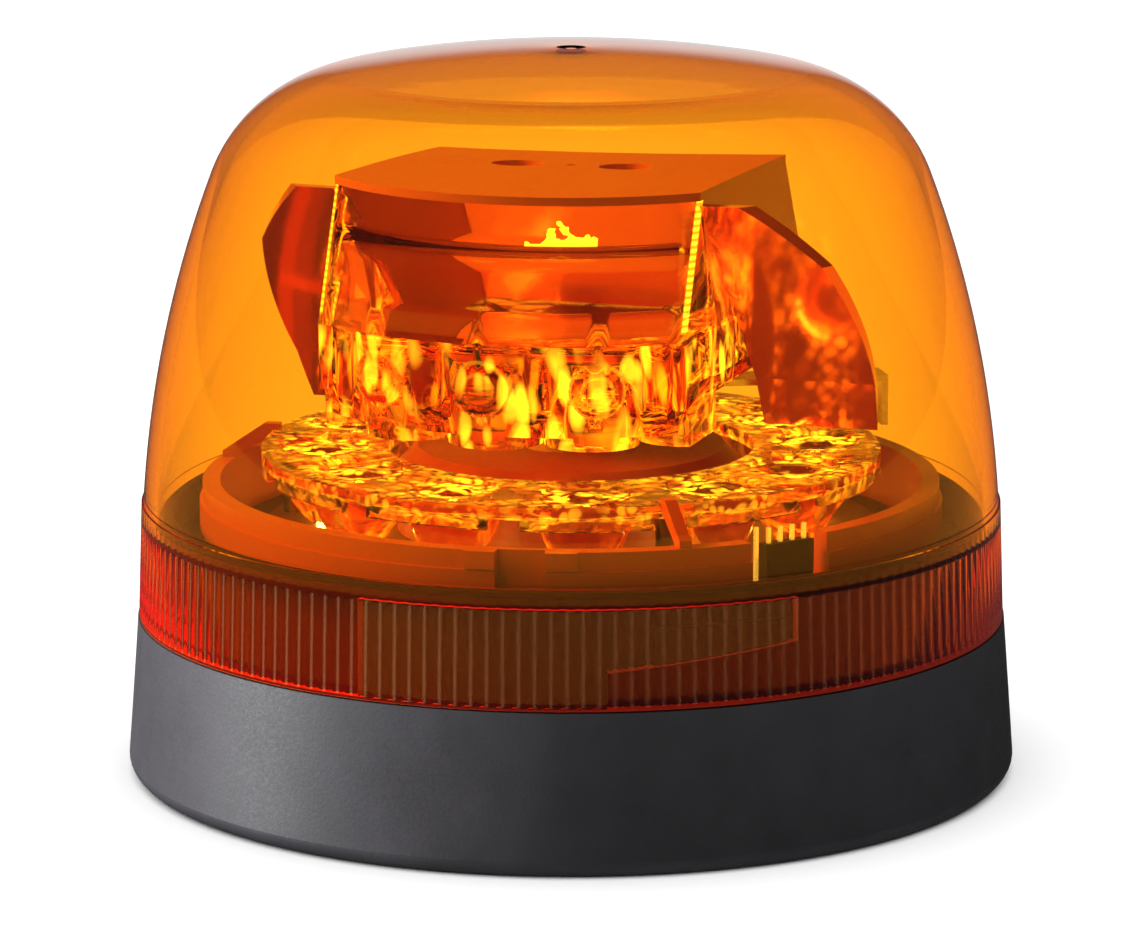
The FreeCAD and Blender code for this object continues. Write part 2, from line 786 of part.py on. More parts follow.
def make_control_board():
    board = cylinder(control_board_radius, control_board_bottom, control_board_top)
    low, high = control_board_bottom - over, control_board_top + over
    way_x, way_y = polar(grommet_distance, grommet_angle)
    cuts = [cylinder(control_board_hole_radius, low, high),
            cylinder(cable_way_radius, low, high, way_x, way_y)]
    for angle in evenly(bolt_count, bolt_start_angle):
        x, y = polar(bolt_circle_radius, angle)
        cuts.append(cylinder(insert_radius + boss_wall + board_cut_clearance, low, high, x, y))
    for angle in post_angles:
        x, y = polar(post_circle_radius, angle)
        cuts.append(cylinder(post_radius + board_cut_clearance, low, high, x, y))
    for angle in standoff_angles:
        x, y = polar(standoff_circle_radius, angle)
        cuts.append(cylinder(screw_hole_radius, low, high, x, y))
    return without(board, cuts)


def make_board_screws():
    parts = []
    for angle in standoff_angles:
        x, y = polar(standoff_circle_radius, angle)
        parts.append(screw(x, y, control_board_top, small_screw_head_radius, small_screw_head_height,
                           board_thickness + board_screw_bite, screw_hole_radius))
    return Part.makeCompound(parts)


def make_capacitors():
    circle = control_board_radius - component_setback - can_radius
    top = control_board_top + can_height
    crimp = can_radius / 5
    parts = []
    for angle in can_angles:
        x, y = polar(circle, angle)
        can = cylinder(can_radius, control_board_top, top - crimp, x, y)
        parts.append(can.fuse(cone(can_radius, can_radius - crimp, top - crimp, top, x, y)).removeSplitter())
    return Part.makeCompound(parts)


def make_choke():
    x, y = polar(control_board_radius - 3 * choke_radius, choke_angle)
    core = cylinder(choke_radius, control_board_top, control_board_top + choke_height, x, y)
    well = control_board_top + choke_height / 5
    return core.cut(cylinder(choke_bore_radius, well, control_board_top + choke_height + over, x, y))


def make_driver_chips():
    """The switching transistors and the motor driver on the control board."""
    outer = control_board_radius - component_setback
    chip = box(outer - chip_length, outer, -chip_width / 2, chip_width / 2,
               control_board_top, control_board_top + chip_height)
    driver = box(outer - driver_length, outer, -driver_length / 2, driver_length / 2,
                 control_board_top, control_board_top + driver_height)
    return Part.makeCompound(around(chip, chip_angles) + [turned(driver, driver_angle)])


def make_link_connector():
    block = box(header_radius - link_depth / 2, header_radius + link_depth / 2,
                -link_width / 2, link_width / 2, control_board_top, plate_top)
    return turned(block, front(header_angle))


def make_led_board():
    disc = cylinder(led_board_radius, plate_top, led_board_top)
    tongue = turned(box(led_board_hole_radius + over, header_radius + tongue_board_reach,
                        -tongue_board_width / 2, tongue_board_width / 2, plate_top, led_board_top),
                    front(header_angle))
    centre = cylinder(led_board_hole_radius, plate_top - over, led_board_top + over)
    return without(disc.fuse(tongue).removeSplitter(), [centre])


def header_pin_offsets():
    """The pins' places along the header."""
    middle = (header_ways - 1) / 2
    return [header_pitch * (step - middle) for step in range(header_ways)]


def pin_bar(offset, low, high):
    half = pin_side / 2
    return box(header_radius - half, header_radius + half, offset - half, offset + half, low, high)


def make_pin_header():
    half = header_ways * header_pitch / 2
    block = box(header_radius - header_depth / 2, header_radius + header_depth / 2, -half, half,
                led_board_top, header_top)
    holes = [pin_bar(offset, header_top - pin_hold, header_top + over) for offset in header_pin_offsets()]
    return turned(block.cut(holes), front(header_angle))


def make_header_pins():
    """The header's pins and one longer guide pin that stands beside it on the board."""
    pins = [pin_bar(offset, header_top - pin_hold, pin_top) for offset in header_pin_offsets()]
    beside = -(header_ways / 2 + 0.55) * header_pitch
    pins.append(pin_bar(beside, led_board_top, pin_top + guide_pin_rise))
    return Part.makeCompound([turned(pin, front(header_angle)) for pin in pins])


# ---- lamps and optics ----
def lamp_angles():
    return evenly(lamp_count, front(lamp_start_angle))


def make_lamps():
    half = lamp_side / 2
    base_top = led_board_top + lamp_base_height
    low, high = lamp_circle_radius - half, lamp_circle_radius + half
    base = box(low, high, -half, half, led_board_top, base_top)
    bulb = Part.makeSphere(lamp_dome_radius, Vector(lamp_circle_radius, 0, base_top), AXIS, 0, 90, 360)
    return Part.makeCompound(around(base.fuse(bulb), lamp_angles()))


def collimator():
    """One cup-shaped collimator under the disc, at angle 0."""
    sunk = optic_bottom + optic_thickness / 4
    foot, throat = (cone_foot_radius, cone_foot_height), (cone_top_radius, sunk)
    belly = (cone_top_radius - cone_belly, (cone_foot_height + optic_bottom) / 2)
    curve = Part.Arc(Vector(foot[0], 0, foot[1]), Vector(belly[0], 0, belly[1]),
                     Vector(throat[0], 0, throat[1]))
    edges = [curve.toShape(), line(throat, (0, sunk)), line((0, sunk), (0, foot[1])),
             line((0, foot[1]), foot)]
    cup = spun(edges)
    cup.translate(Vector(lamp_circle_radius, 0, 0))
    return cup


def make_collimator_optic():
    disc = ring(optic_outer_radius, optic_inner_radius, optic_bottom, optic_top)
    sunk = optic_bottom + optic_thickness / 4
    skirt_low = optic_bottom - rim_skirt_height
    skirt = ring(optic_outer_radius, optic_outer_radius - rim_skirt_wall, skirt_low, sunk)
    half = rim_notch_width / 2
    notch = box(optic_outer_radius - rim_skirt_wall - over, optic_outer_radius + over, -half, half,
                skirt_low - over, optic_bottom)
    first = lamp_angles()[0] + 180.0 / lamp_count
    leg = cylinder(leg_radius, led_board_top, sunk, *polar(optic_outer_radius - leg_setback, first))
    body = fused([disc, skirt.cut(around(notch, evenly(lamp_count, first)))]
                 + around(collimator(), lamp_angles()) + around(leg, evenly(leg_count)))
    x = lamp_circle_radius
    cup = cylinder(cup_radius, optic_top - cup_depth, optic_top + over, x)
    reach = (cup_lens_radius ** 2 + cup_lens_height ** 2) / (2 * cup_lens_height)
    lens = Part.makeSphere(reach, Vector(x, 0, optic_top - cup_depth + cup_lens_height - reach))
    pocket = cylinder(cone_pocket_radius, cone_foot_height - over, cone_foot_height + cone_pocket_depth, x)
    return without(body, around(cup.cut(lens), lamp_angles()) + around(pocket, lamp_angles()))


def make_optic_carrier():
    low = plate_top
    wall = ring(carrier_radius, carrier_radius - carrier_wall, low, carrier_top)
    step = ring(carrier_radius + carrier_step, carrier_radius - carrier_wall / 2,
                low + carrier_step_foot, carrier_top - carrier_step_drop)
    pads = []
    half = math.degrees(clip_pocket_width / 2 / carrier_radius)
    pad = math.degrees(clip_pad_width / carrier_radius)
    for start, end in ((-half - pad, -half), (half, half + pad)):
        pads.append(sector(carrier_radius + clip_pad_proud, carrier_radius - carrier_wall / 2,
                           carrier_top - clip_pad_height, carrier_top,
                           front(clip_pocket_angle + start), front(clip_pocket_angle + end)))
    ears = []
    for x, y in ear_places():
        ears.append(cylinder(foot_ear_radius, low, low + foot_ear_thickness, x, y))
    ear_web = box(carrier_radius - carrier_wall - foot_ear_radius, carrier_radius - carrier_wall / 2,
                  -foot_ear_radius, foot_ear_radius, low, low + foot_ear_thickness)
    ears += [turned(ear_web, front(angle)) for angle in foot_ear_angles]
    body = fused([wall, step] + pads + ears + [snap_arm(angle) for angle in arm_angles])
    outside = carrier_radius + carrier_step + clip_pad_proud + over
    gap = sector(outside, carrier_radius - carrier_wall - over, low - over, carrier_top + over,
                 front(carrier_gap_start), front(carrier_gap_end))
    pocket = sector(outside, carrier_radius - clip_pocket_depth, low - over, carrier_top + over,
                    front(clip_pocket_angle - half), front(clip_pocket_angle + half))
    cuts = [gap, pocket]
    cuts += [cylinder(screw_hole_radius, low - over, low + foot_ear_thickness + over, x, y)
             for x, y in ear_places()]
    return without(body, cuts)


def snap_arm(angle):
    """A finger that leans from the carrier's rim over the optic's edge and hooks it down."""
    rim = optic_outer_radius + fit_gap
    outer = carrier_radius - carrier_wall / 5
    root = outer - arm_thickness * 1.5
    hook = optic_top + fit_gap
    outline = [(root, carrier_top - arm_root), (outer, carrier_top - arm_root),
               (outer, carrier_top + arm_nose), (rim + arm_thickness, hook + arm_nose),
               (rim - arm_nose, hook + arm_nose), (rim - arm_nose, hook), (rim, hook), (rim, hook - arm_nose),
               (root, carrier_top)]
    half = arm_width / 2
    arm = pulled([(x, -half, z) for x, z in outline], (0, arm_width, 0))
    return turned(arm, front(angle))


def make_carrier_screws():
    parts = []
    for x, y in ear_places():
        parts.append(screw(x, y, plate_top + foot_ear_thickness, small_screw_head_radius,
                           small_screw_head_height, small_screw_length, screw_hole_radius))
    return Part.makeCompound(parts)


def make_centre_cover():
    inner = cover_radius - cover_wall
    bore = hub_neck_radius + cover_bore_clearance
    roof = cover_top - cover_wall
    points = [(cover_radius, led_board_top), (cover_radius, cover_top - cover_round),
              (cover_radius - cover_round, cover_top), (bore, cover_top), (bore, roof),
              (inner - cover_round, roof), (inner, roof - cover_round), (inner, led_board_top)]
    return spun_polygon(points)


# ---- motor ----
def lower_seat():
    return bearing_tube_foot + bearing_lip


def upper_seat():
    return bearing_tube_top - bearing_lip - bearing_height


def make_bearing_tube():
    waist = bearing_radius - bearing_lip_width
    spigot = plate_hole_radius - fit_gap
    flange = plate_bottom - tube_flange_thickness
    lower_end = lower_seat() + bearing_height
    points = [(waist, bearing_tube_foot), (bearing_tube_radius, bearing_tube_foot),
              (bearing_tube_radius, flange), (tube_flange_radius, flange), (tube_flange_radius, plate_bottom),
              (spigot, plate_bottom), (spigot, plate_top), (bearing_tube_radius, plate_top),
              (bearing_tube_radius, bearing_tube_top),
              (bearing_radius, bearing_tube_top), (bearing_radius, upper_seat()), (waist, upper_seat()),
              (waist, lower_end), (bearing_radius, lower_end), (bearing_radius, lower_seat()),
              (waist, lower_seat())]
    holes = [cylinder(screw_hole_radius, plate_bottom - motor_screw_bite, plate_bottom + over, x, y)
             for x, y in motor_screw_places()]
    return without(spun_polygon(points), holes)


def bearing(low):
    """A shielded ball bearing as one ring, with the shield steps on both faces."""
    bore = shaft_radius + running_clearance
    high = low + bearing_height
    inner, outer = bore + bearing_shield_wall, bearing_radius - bearing_shield_wall
    step = bearing_shield_depth
    points = [(bore, low), (inner, low), (inner, low + step), (outer, low + step),
              (outer, low), (bearing_radius, low), (bearing_radius, high),
              (outer, high), (outer, high - step), (inner, high - step), (inner, high), (bore, high)]
    return spun_polygon(points)


def make_upper_bearing():
    return bearing(upper_seat())


def make_lower_bearing():
    return bearing(lower_seat())


def tooth_angles():
    return evenly(stator_teeth, tooth_start_angle)


def make_stator_core():
    low, high = stator_foot, stator_foot + stator_height
    hub = ring(bearing_tube_radius + stator_hub_wall, bearing_tube_radius, low, high)
    start = bearing_tube_radius + stator_hub_wall / 2
    tooth = box(start, stator_radius - tooth_shoe / 2, -tooth_width / 2, tooth_width / 2, low, high)
    shoe = sector(stator_radius, stator_radius - tooth_shoe, low, high,
                  -tooth_shoe_angle / 2, tooth_shoe_angle / 2)
    arm = tooth.fuse(shoe)
    return fused([hub] + around(arm, tooth_angles()))


def make_stator_coils():
    low, high = stator_foot - coil_build, stator_foot + stator_height + coil_build
    inner = bearing_tube_radius + stator_hub_wall + coil_clearance
    outer = stator_radius - tooth_shoe - coil_clearance
    half = tooth_width / 2
    wound = box(inner, outer, -half - coil_build, half + coil_build, low, high)
    core = box(inner - over, outer + over, -half, half, stator_foot, stator_foot + stator_height)
    coil = wound.cut(core)
    half_slot = 180.0 / stator_teeth - coil_gap
    keep = sector(outer, inner - over, low, high, -half_slot, half_slot)
    return Part.makeCompound(around(coil.common(keep), tooth_angles()))


def make_motor_screws():
    parts = [screw(x, y, plate_top, small_screw_head_radius, small_screw_head_height,
                   plate_thickness + motor_screw_bite, screw_hole_radius) for x, y in motor_screw_places()]
    return Part.makeCompound(parts)


def make_magnet_ring():
    low = yoke_foot + yoke_wall + magnet_foot_gap
    high = stator_foot + stator_height + magnet_overhang
    return ring(magnet_outer_radius, stator_radius + air_gap, low, high)


def make_motor_yoke():
    top = stator_foot + stator_height + 2 * magnet_overhang
    floor = yoke_foot + yoke_wall
    points = [(shaft_radius, yoke_foot), (yoke_radius, yoke_foot), (yoke_radius, top),
              (magnet_outer_radius, top), (magnet_outer_radius, floor), (yoke_hub_radius, floor),
              (yoke_hub_radius, floor + yoke_hub_height), (shaft_radius, floor + yoke_hub_height)]
    return spun_polygon(points)


def make_rotor_shaft():
    return cylinder(shaft_radius, shaft_foot, shaft_top)


def make_shaft_clip():
    low = bearing_tube_top + clip_ring_gap
    outer = shaft_radius + clip_ring_wall
    clip = ring(outer, shaft_radius, low, low + clip_ring_thickness)
    half = clip_ring_slot / 2
    return clip.cut(box(0, outer + over, -half, half, low - over, low + clip_ring_thickness + over))


# ---- rotor ----
def make_rotor_hub():
    flange_low = box_floor_bottom - hub_flange_thickness
    neck = cylinder(hub_neck_radius, hub_neck_foot, flange_low + over)
    flange = cylinder(hub_flange_radius, flange_low, box_floor_bottom)
    foot = cone(hub_neck_radius - hub_foot_chamfer, hub_neck_radius, hub_neck_foot - hub_foot_chamfer,
                hub_neck_foot)
    cuts = [cylinder(shaft_radius, hub_neck_foot - 2 * hub_foot_chamfer, shaft_top)]
    for side in (-1, 1):
        cuts.append(cylinder(hub_screw_hole_radius, box_floor_top - hub_screw_length, box_floor_bottom + over,
                             side * hub_screw_distance))
    return turned(without(fused([neck, flange, foot]), cuts), rotor_rest_angle)


def window_radius(height):
    """Outside radius of the front window's cone at a height."""
    share = (height - window_foot) / window_height
    return window_foot_radius + (window_top_radius - window_foot_radius) * share


def front_window():
    """The curved, leaning front wall between the two side walls, thicker along its top."""
    low, high = window_foot, cover_plate_bottom
    ledge = high - window_step_height
    outside = cone(window_radius(low), window_radius(high), low, high)
    inside = cone(window_radius(low) - window_wall, window_radius(high) - window_wall, low, high)
    band = cone(window_radius(ledge) - window_wall - window_step,
                window_radius(high) - window_wall - window_step, ledge, high)
    inside = inside.cut(cylinder(window_foot_radius, ledge, high)).fuse(band)
    slab = box(-box_half_width, box_half_width, -rotor_radius, wing_back(high), low, high)
    return outside.cut(inside).common(slab)


def wing_back(height):
    """Where the reflectors' backs stand, front to back, at a height."""
    return wing_plane - height


def wall_front(height):
    return -math.sqrt(window_radius(height) ** 2 - box_half_width ** 2)


def side_wall(side):
    """The clear part of a side wall: in front of the reflector's plane."""
    inner = side * (box_half_width - box_wall)
    high = cover_plate_bottom
    outline = [(wall_front(window_foot), box_floor_bottom), (wall_front(window_foot), window_foot),
               (wall_front(high), high), (wing_back(high), high), (wing_back(box_floor_top), box_floor_top),
               (rear_slope_foot, box_floor_top), (rear_slope_foot, box_floor_bottom)]
    return pulled([(inner, y, z) for y, z in outline], (side * box_wall, 0, 0))


def box_floor():
    """The flat floor on the hub's flange, with its screw holes and centring hole."""
    round_front = cylinder(lobe_circle_radius, box_floor_bottom, box_floor_top)
    rear = box(-box_half_width, box_half_width, 0, rear_slope_foot, box_floor_bottom, box_floor_top)
    slab = box(-box_half_width, box_half_width, -rotor_radius, rear_slope_foot, box_floor_bottom,
               box_floor_top)
    low, high = box_floor_bottom - over, box_floor_top + over
    cuts = [cylinder(shaft_radius + floor_bore_clearance, low, high)]
    for side in (-1, 1):
        cuts.append(cylinder(hub_screw_hole_radius, low, high, side * hub_screw_distance))
    return slab.common(round_front.fuse(rear)).cut(cuts)


def lobe_angles():
    middle = (lobe_count - 1) / 2
    return [front(lobe_spacing * (step - middle)) for step in range(lobe_count)]


def front_lobes():
    """A fan of tulip-shaped prisms below the window, one beside another, each with a lens on its front."""
    reach = (lens_radius ** 2 + lens_bulge ** 2) / (2 * lens_bulge)
    height = rotor_foot + lens_rise
    share = lens_rise / (window_foot - rotor_foot)
    tulip_radius = lobe_foot_radius + (lobe_top_radius - lobe_foot_radius) * share
    face = lobe_circle_radius + tulip_radius
    shapes = []
    for angle in lobe_angles():
        x, y = polar(lobe_circle_radius, angle)
        tulip = cone(lobe_foot_radius, lobe_top_radius, rotor_foot, window_foot, x, y)
        x, y = polar(face + lens_bulge - reach, angle)
        outward = Vector(*polar(1.0, angle), 0)
        ball = Part.makeSphere(reach, Vector(x, y, height))
        root = Vector(*polar(face - lobe_foot_radius + lens_bulge, angle), height)
        plug = Part.makeCylinder(lens_radius, lobe_foot_radius, root, outward)
        shapes.append(tulip.fuse(ball.common(plug)))
    web_outer = window_foot_radius - lobe_web_inset
    web = sector(web_outer, lobe_circle_radius - lobe_foot_radius / 2, rotor_foot + lobe_web_inset,
                 window_foot, lobe_angles()[0], lobe_angles()[-1])
    slab = box(-box_half_width, box_half_width, -rotor_radius, -box_half_width / 2, rotor_foot, window_foot)
    return fused(shapes + [web]).common(slab).common(cylinder(window_foot_radius, rotor_foot, window_foot))


def make_rotor_prism():
    parts = [front_window(), box_floor(), front_lobes()] + [side_wall(side) for side in (-1, 1)]
    return turned(fused(parts), rotor_rest_angle)


def make_side_reflector(side):
    """A sloping plate beside the box that turns the side lamps' beams forward, with a thicker foot."""
    high = wing_top
    face = wing_plane - wing_thickness * math.sqrt(2)
    toe = wing_back(wing_foot) - wing_foot_depth
    bend = (wing_front_slope * toe + wing_foot - face) / (wing_front_slope - 1)
    outline = [(wing_back(high), high), (wing_back(wing_foot), wing_foot), (toe, wing_foot),
               (bend, face - bend), (face - high, high)]
    start = side * box_half_width
    plate = pulled([(start, y, z) for y, z in outline], (side * rotor_radius, 0, 0))
    lean = high - wing_lean_height
    outside = cylinder(rotor_radius, wing_foot, lean).fuse(cone(rotor_radius, wing_top_radius, lean, high))
    return turned(plate.common(turned(outside, 90)), rotor_rest_angle)


def make_left_reflector():
    return make_side_reflector(-1)


def make_right_reflector():
    return make_side_reflector(1)


def make_rear_mirror():
    """The metallised plate that closes the box's sloping back."""
    half = box_half_width - box_wall - fit_gap
    high, low = cover_plate_bottom - fit_gap, box_floor_top + fit_gap
    back = rear_mirror_thickness * math.sqrt(1 + rear_slope ** 2)
    rear_high = cover_plate_rear + rear_slope * fit_gap
    rear_low = rear_slope_foot - rear_slope * fit_gap
    outline = [(rear_high - back, high), (rear_high, high), (rear_low, low), (rear_low - back, low)]
    return turned(pulled([(-half, y, z) for y, z in outline], (2 * half, 0, 0)), rotor_rest_angle)


def cheek(side):
    """The opaque rear part of a side wall, above the reflector's plane."""
    inner = side * (box_half_width - box_wall)
    high = cover_plate_bottom
    outline = [(wing_back(high) + fit_gap, high + cover_plate_thickness / 2),
               (cover_plate_rear, high + cover_plate_thickness / 2), (cover_plate_rear, high),
               (rear_slope_foot, box_floor_top), (wing_back(box_floor_top) + fit_gap, box_floor_top),
               (wing_back(high) + fit_gap, high)]
    return pulled([(inner, y, z) for y, z in outline], (side * box_wall, 0, 0))


def make_rotor_cover():
    low, high = cover_plate_bottom, cover_plate_top
    reach = window_radius(low) + cover_plate_lip
    half = box_half_width
    plate = cylinder(reach, low, high).common(box(-half, half, -reach, 0, low, high))
    plate = plate.fuse(box(-half, half, 0, cover_plate_rear, low, high)).removeSplitter()
    cuts = [cylinder(access_hole_radius, low - over, high + over, side * hub_screw_distance)
            for side in (-1, 1)]
    cuts.append(cylinder(centre_mark_radius, high - centre_mark_depth, high + over))
    return turned(without(fused([plate, cheek(-1), cheek(1)]), cuts), rotor_rest_angle)


def make_hub_screws():
    parts = [screw(side * hub_screw_distance, 0, box_floor_top, hub_screw_head_radius, hub_screw_head_height,
                   hub_screw_length, hub_screw_hole_radius) for side in (-1, 1)]
    return turned(Part.makeCompound(parts), rotor_rest_angle)


def weight_rear():
    return rear_slope_foot - weight_setback


def weight_screw_places():
    return [(side * weight_width / 3, weight_rear() - weight_depth / 2) for side in (-1, 1)]


def make_counterweight():
    low, high = box_floor_bottom - weight_height, box_floor_bottom
    block = box(-weight_width / 2, weight_width / 2, weight_rear() - weight_depth, weight_rear(), low, high)
    upright = [e for e in block.Edges if abs(e.Vertexes[0].Z - e.Vertexes[1].Z) > weight_height / 2]
    block = block.makeFillet(weight_round, upright)
    holes = [cylinder(screw_hole_radius, low - over, high + over, x, y) for x, y in weight_screw_places()]
    return turned(without(block, holes), rotor_rest_angle)


def make_weight_screws():
    low = box_floor_bottom - weight_height
    parts = []
    for x, y in weight_screw_places():
        head = cylinder(small_screw_head_radius, low - small_screw_head_height, low, x, y)
        parts.append(head.fuse(cylinder(screw_hole_radius, low, box_floor_bottom, x, y)))
    return turned(Part.makeCompound(parts), rotor_rest_angle)


def make_position_flag():
    """A sheet arm on the hub's neck whose bent end passes the sensor."""
    half = flag_width / 2
    low = flag_top - flag_thickness
    collar = ring(hub_neck_radius + flag_collar_wall, hub_neck_radius, low, flag_top)
    arm = box(0, flag_radius, -half, half, low, flag_top)
    arm = arm.cut(cylinder(hub_neck_radius, low - over, flag_top + over))
    blade = box(flag_radius - flag_thickness, flag_radius, -half, half, flag_foot, flag_top)
    return turned(fused([arm, blade, collar]), flag_angle + rotor_rest_angle)


MAKERS = {
    "base_housing": make_base_housing,
    "mounting_gasket": make_mounting_gasket,
    "thread_inserts": make_thread_inserts,
    "cable_grommet": make_cable_grommet,
    "vent_plug": make_vent_plug,
    "control_board": make_control_board,
    "board_screws": make_board_screws,
    "capacitors": make_capacitors,
    "choke": make_choke,
    "driver_chips": make_driver_chips,
    "link_connector": make_link_connector,
    "heat_sink": make_heat_sink,
    "plate_screws": make_plate_screws,
    "led_board": make_led_board,
    "lamps": make_lamps,
    "pin_header": make_pin_header,
    "header_pins": make_header_pins,
    "collimator_optic": make_collimator_optic,
    "optic_carrier": make_optic_carrier,
    "carrier_screws": make_carrier_screws,
    "centre_cover": make_centre_cover,
    "bearing_tube": make_bearing_tube,
    "upper_bearing": make_upper_bearing,
    "lower_bearing": make_lower_bearing,
    "stator_core": make_stator_core,
    "stator_coils": make_stator_coils,
    "motor_screws": make_motor_screws,
    "magnet_ring": make_magnet_ring,
    "motor_yoke": make_motor_yoke,
    "rotor_shaft": make_rotor_shaft,
    "shaft_clip": make_shaft_clip,
    "rotor_hub": make_rotor_hub,
    "rotor_prism": make_rotor_prism,
    "left_reflector": make_left_reflector,
    "right_reflector": make_right_reflector,
    "rear_mirror": make_rear_mirror,
    "rotor_cover": make_rotor_cover,
    "hub_screws": make_hub_screws,
    "counterweight": make_counterweight,
    "weight_screws": make_weight_screws,
    "position_flag": make_position_flag,
    "dome_seal": make_dome_seal,
    "dome": make_dome,
}

os.makedirs("parts", exist_ok=True)
for name, maker in MAKERS.items():
    shape = maker()
    assert shape.isValid(), name
    assert all(solid.isClosed() and solid.Volume > 0 for solid in shape.Solids), name
    print(name, len(shape.Solids), "solids", round(shape.Volume, 1), "mm3")
    shape.exportStep("parts/" + name + ".step")
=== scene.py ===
import bpy
import json
import math
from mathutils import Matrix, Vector


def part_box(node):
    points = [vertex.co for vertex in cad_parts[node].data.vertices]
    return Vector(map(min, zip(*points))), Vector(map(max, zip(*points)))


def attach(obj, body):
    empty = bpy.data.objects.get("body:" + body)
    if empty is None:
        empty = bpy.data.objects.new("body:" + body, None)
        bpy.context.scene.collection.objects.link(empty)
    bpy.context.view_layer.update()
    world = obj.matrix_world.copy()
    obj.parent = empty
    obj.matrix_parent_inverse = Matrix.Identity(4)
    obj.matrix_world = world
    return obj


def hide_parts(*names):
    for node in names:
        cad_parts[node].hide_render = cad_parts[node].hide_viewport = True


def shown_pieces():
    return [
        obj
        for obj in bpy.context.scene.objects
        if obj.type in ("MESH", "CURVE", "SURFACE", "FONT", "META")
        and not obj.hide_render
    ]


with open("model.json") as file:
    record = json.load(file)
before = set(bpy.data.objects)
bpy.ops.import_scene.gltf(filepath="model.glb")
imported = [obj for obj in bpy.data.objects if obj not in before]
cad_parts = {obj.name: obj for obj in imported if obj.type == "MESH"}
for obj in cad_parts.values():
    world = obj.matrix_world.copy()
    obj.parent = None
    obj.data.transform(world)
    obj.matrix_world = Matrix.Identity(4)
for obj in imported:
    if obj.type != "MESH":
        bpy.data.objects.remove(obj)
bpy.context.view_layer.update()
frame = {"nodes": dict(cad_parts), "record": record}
nodes = frame["nodes"]
mm = 0.001  # the frame is in metres, and the sizes of pieces below are in millimetres
print("frame loaded:", len(nodes), "nodes")


# node helpers
def feed(tree, node, values):
    # each input gets a number or a colour, or is joined to another node's output
    for name, value in values.items():
        if isinstance(value, bpy.types.NodeSocket):
            tree.links.new(value, node.inputs[name])
        else:
            node.inputs[name].default_value = value


def addNode(tree, kind, values):
    node = tree.nodes.new(kind)
    feed(tree, node, values)
    return node


def maths(tree, operation, *values):
    node = tree.nodes.new("ShaderNodeMath")
    node.operation = operation
    feed(tree, node, dict(enumerate(values)))
    return node.outputs["Value"]


def times(tree, *values):
    product = values[0]
    for value in values[1:]:
        product = maths(tree, "MULTIPLY", product, value)
    return product


def leftOver(tree, value):
    # what is left of one
    return maths(tree, "SUBTRACT", 1.0, value)


def longSide(tree, first, second):
    # the long side of a right-angled triangle
    squares = maths(tree, "ADD", times(tree, first, first), times(tree, second, second))
    return maths(tree, "SQRT", squares)


def fade(tree, value, start, end, low=0.0, high=1.0):
    # goes from low to high as the value goes from start to end
    node = addNode(tree, "ShaderNodeMapRange", {
        "Value": value, "From Min": start, "From Max": end, "To Min": low, "To Max": high})
    return node.outputs["Result"]


def blend(tree, kind, share, first, second):
    mix = tree.nodes.new("ShaderNodeMix")
    mix.data_type = kind
    feed(tree, mix, {"Factor": share, "A": first, "B": second})
    return mix.outputs["Result"]


def noise(tree, place, scale, detail=2.0, rough=0.5):
    return addNode(tree, "ShaderNodeTexNoise", {
        "Vector": place, "Scale": scale, "Detail": detail, "Roughness": rough})


def cells(tree, place, size):
    node = addNode(tree, "ShaderNodeTexVoronoi", {"Vector": place, "Scale": 1.0 / (size * mm)})
    return node.outputs["Distance"]


def mapped(tree, place, turn, scale):
    node = addNode(tree, "ShaderNodeMapping", {
        "Vector": place, "Rotation": [math.radians(angle) for angle in turn], "Scale": scale})
    return node.outputs["Vector"]


def split(tree, place):
    parts = addNode(tree, "ShaderNodeSeparateXYZ", {"Vector": place})
    return [parts.outputs[axis] for axis in "XYZ"]


def bumped(tree, height, strength, depth):
    return addNode(tree, "ShaderNodeBump", {"Height": height, "Strength": strength, "Distance": depth * mm})


def newFinish(name):
    finish = bpy.data.materials.new(name)
    finish.use_nodes = True
    tree = finish.node_tree
    place = tree.nodes.new("ShaderNodeTexCoord").outputs["Object"]
    return finish, tree, tree.nodes["Principled BSDF"], place


# view, with its places in metres
viewing = {
    "place": (0.0, -0.9852, 0.2614),
    "aim": (0.0, 0.0, 0.0566),
    "lens": 171.3,
    "sensor": 36.0,
    "shift": -0.0009,
    "clip": (0.05, 20.0),
}


def makeCamera():
    bpy.ops.object.camera_add(location=viewing["place"])
    camera = bpy.context.object
    camera.name = "beaconCamera"
    camera.rotation_mode = "QUATERNION"
    aim = Vector(viewing["aim"]) - Vector(viewing["place"])
    camera.rotation_quaternion = aim.to_track_quat("-Z", "Y")
    camera.data.lens = viewing["lens"]
    camera.data.sensor_width = viewing["sensor"]
    camera.data.shift_x = viewing["shift"]
    camera.data.clip_start, camera.data.clip_end = viewing["clip"]
    bpy.context.scene.camera = camera
    print("camera set")


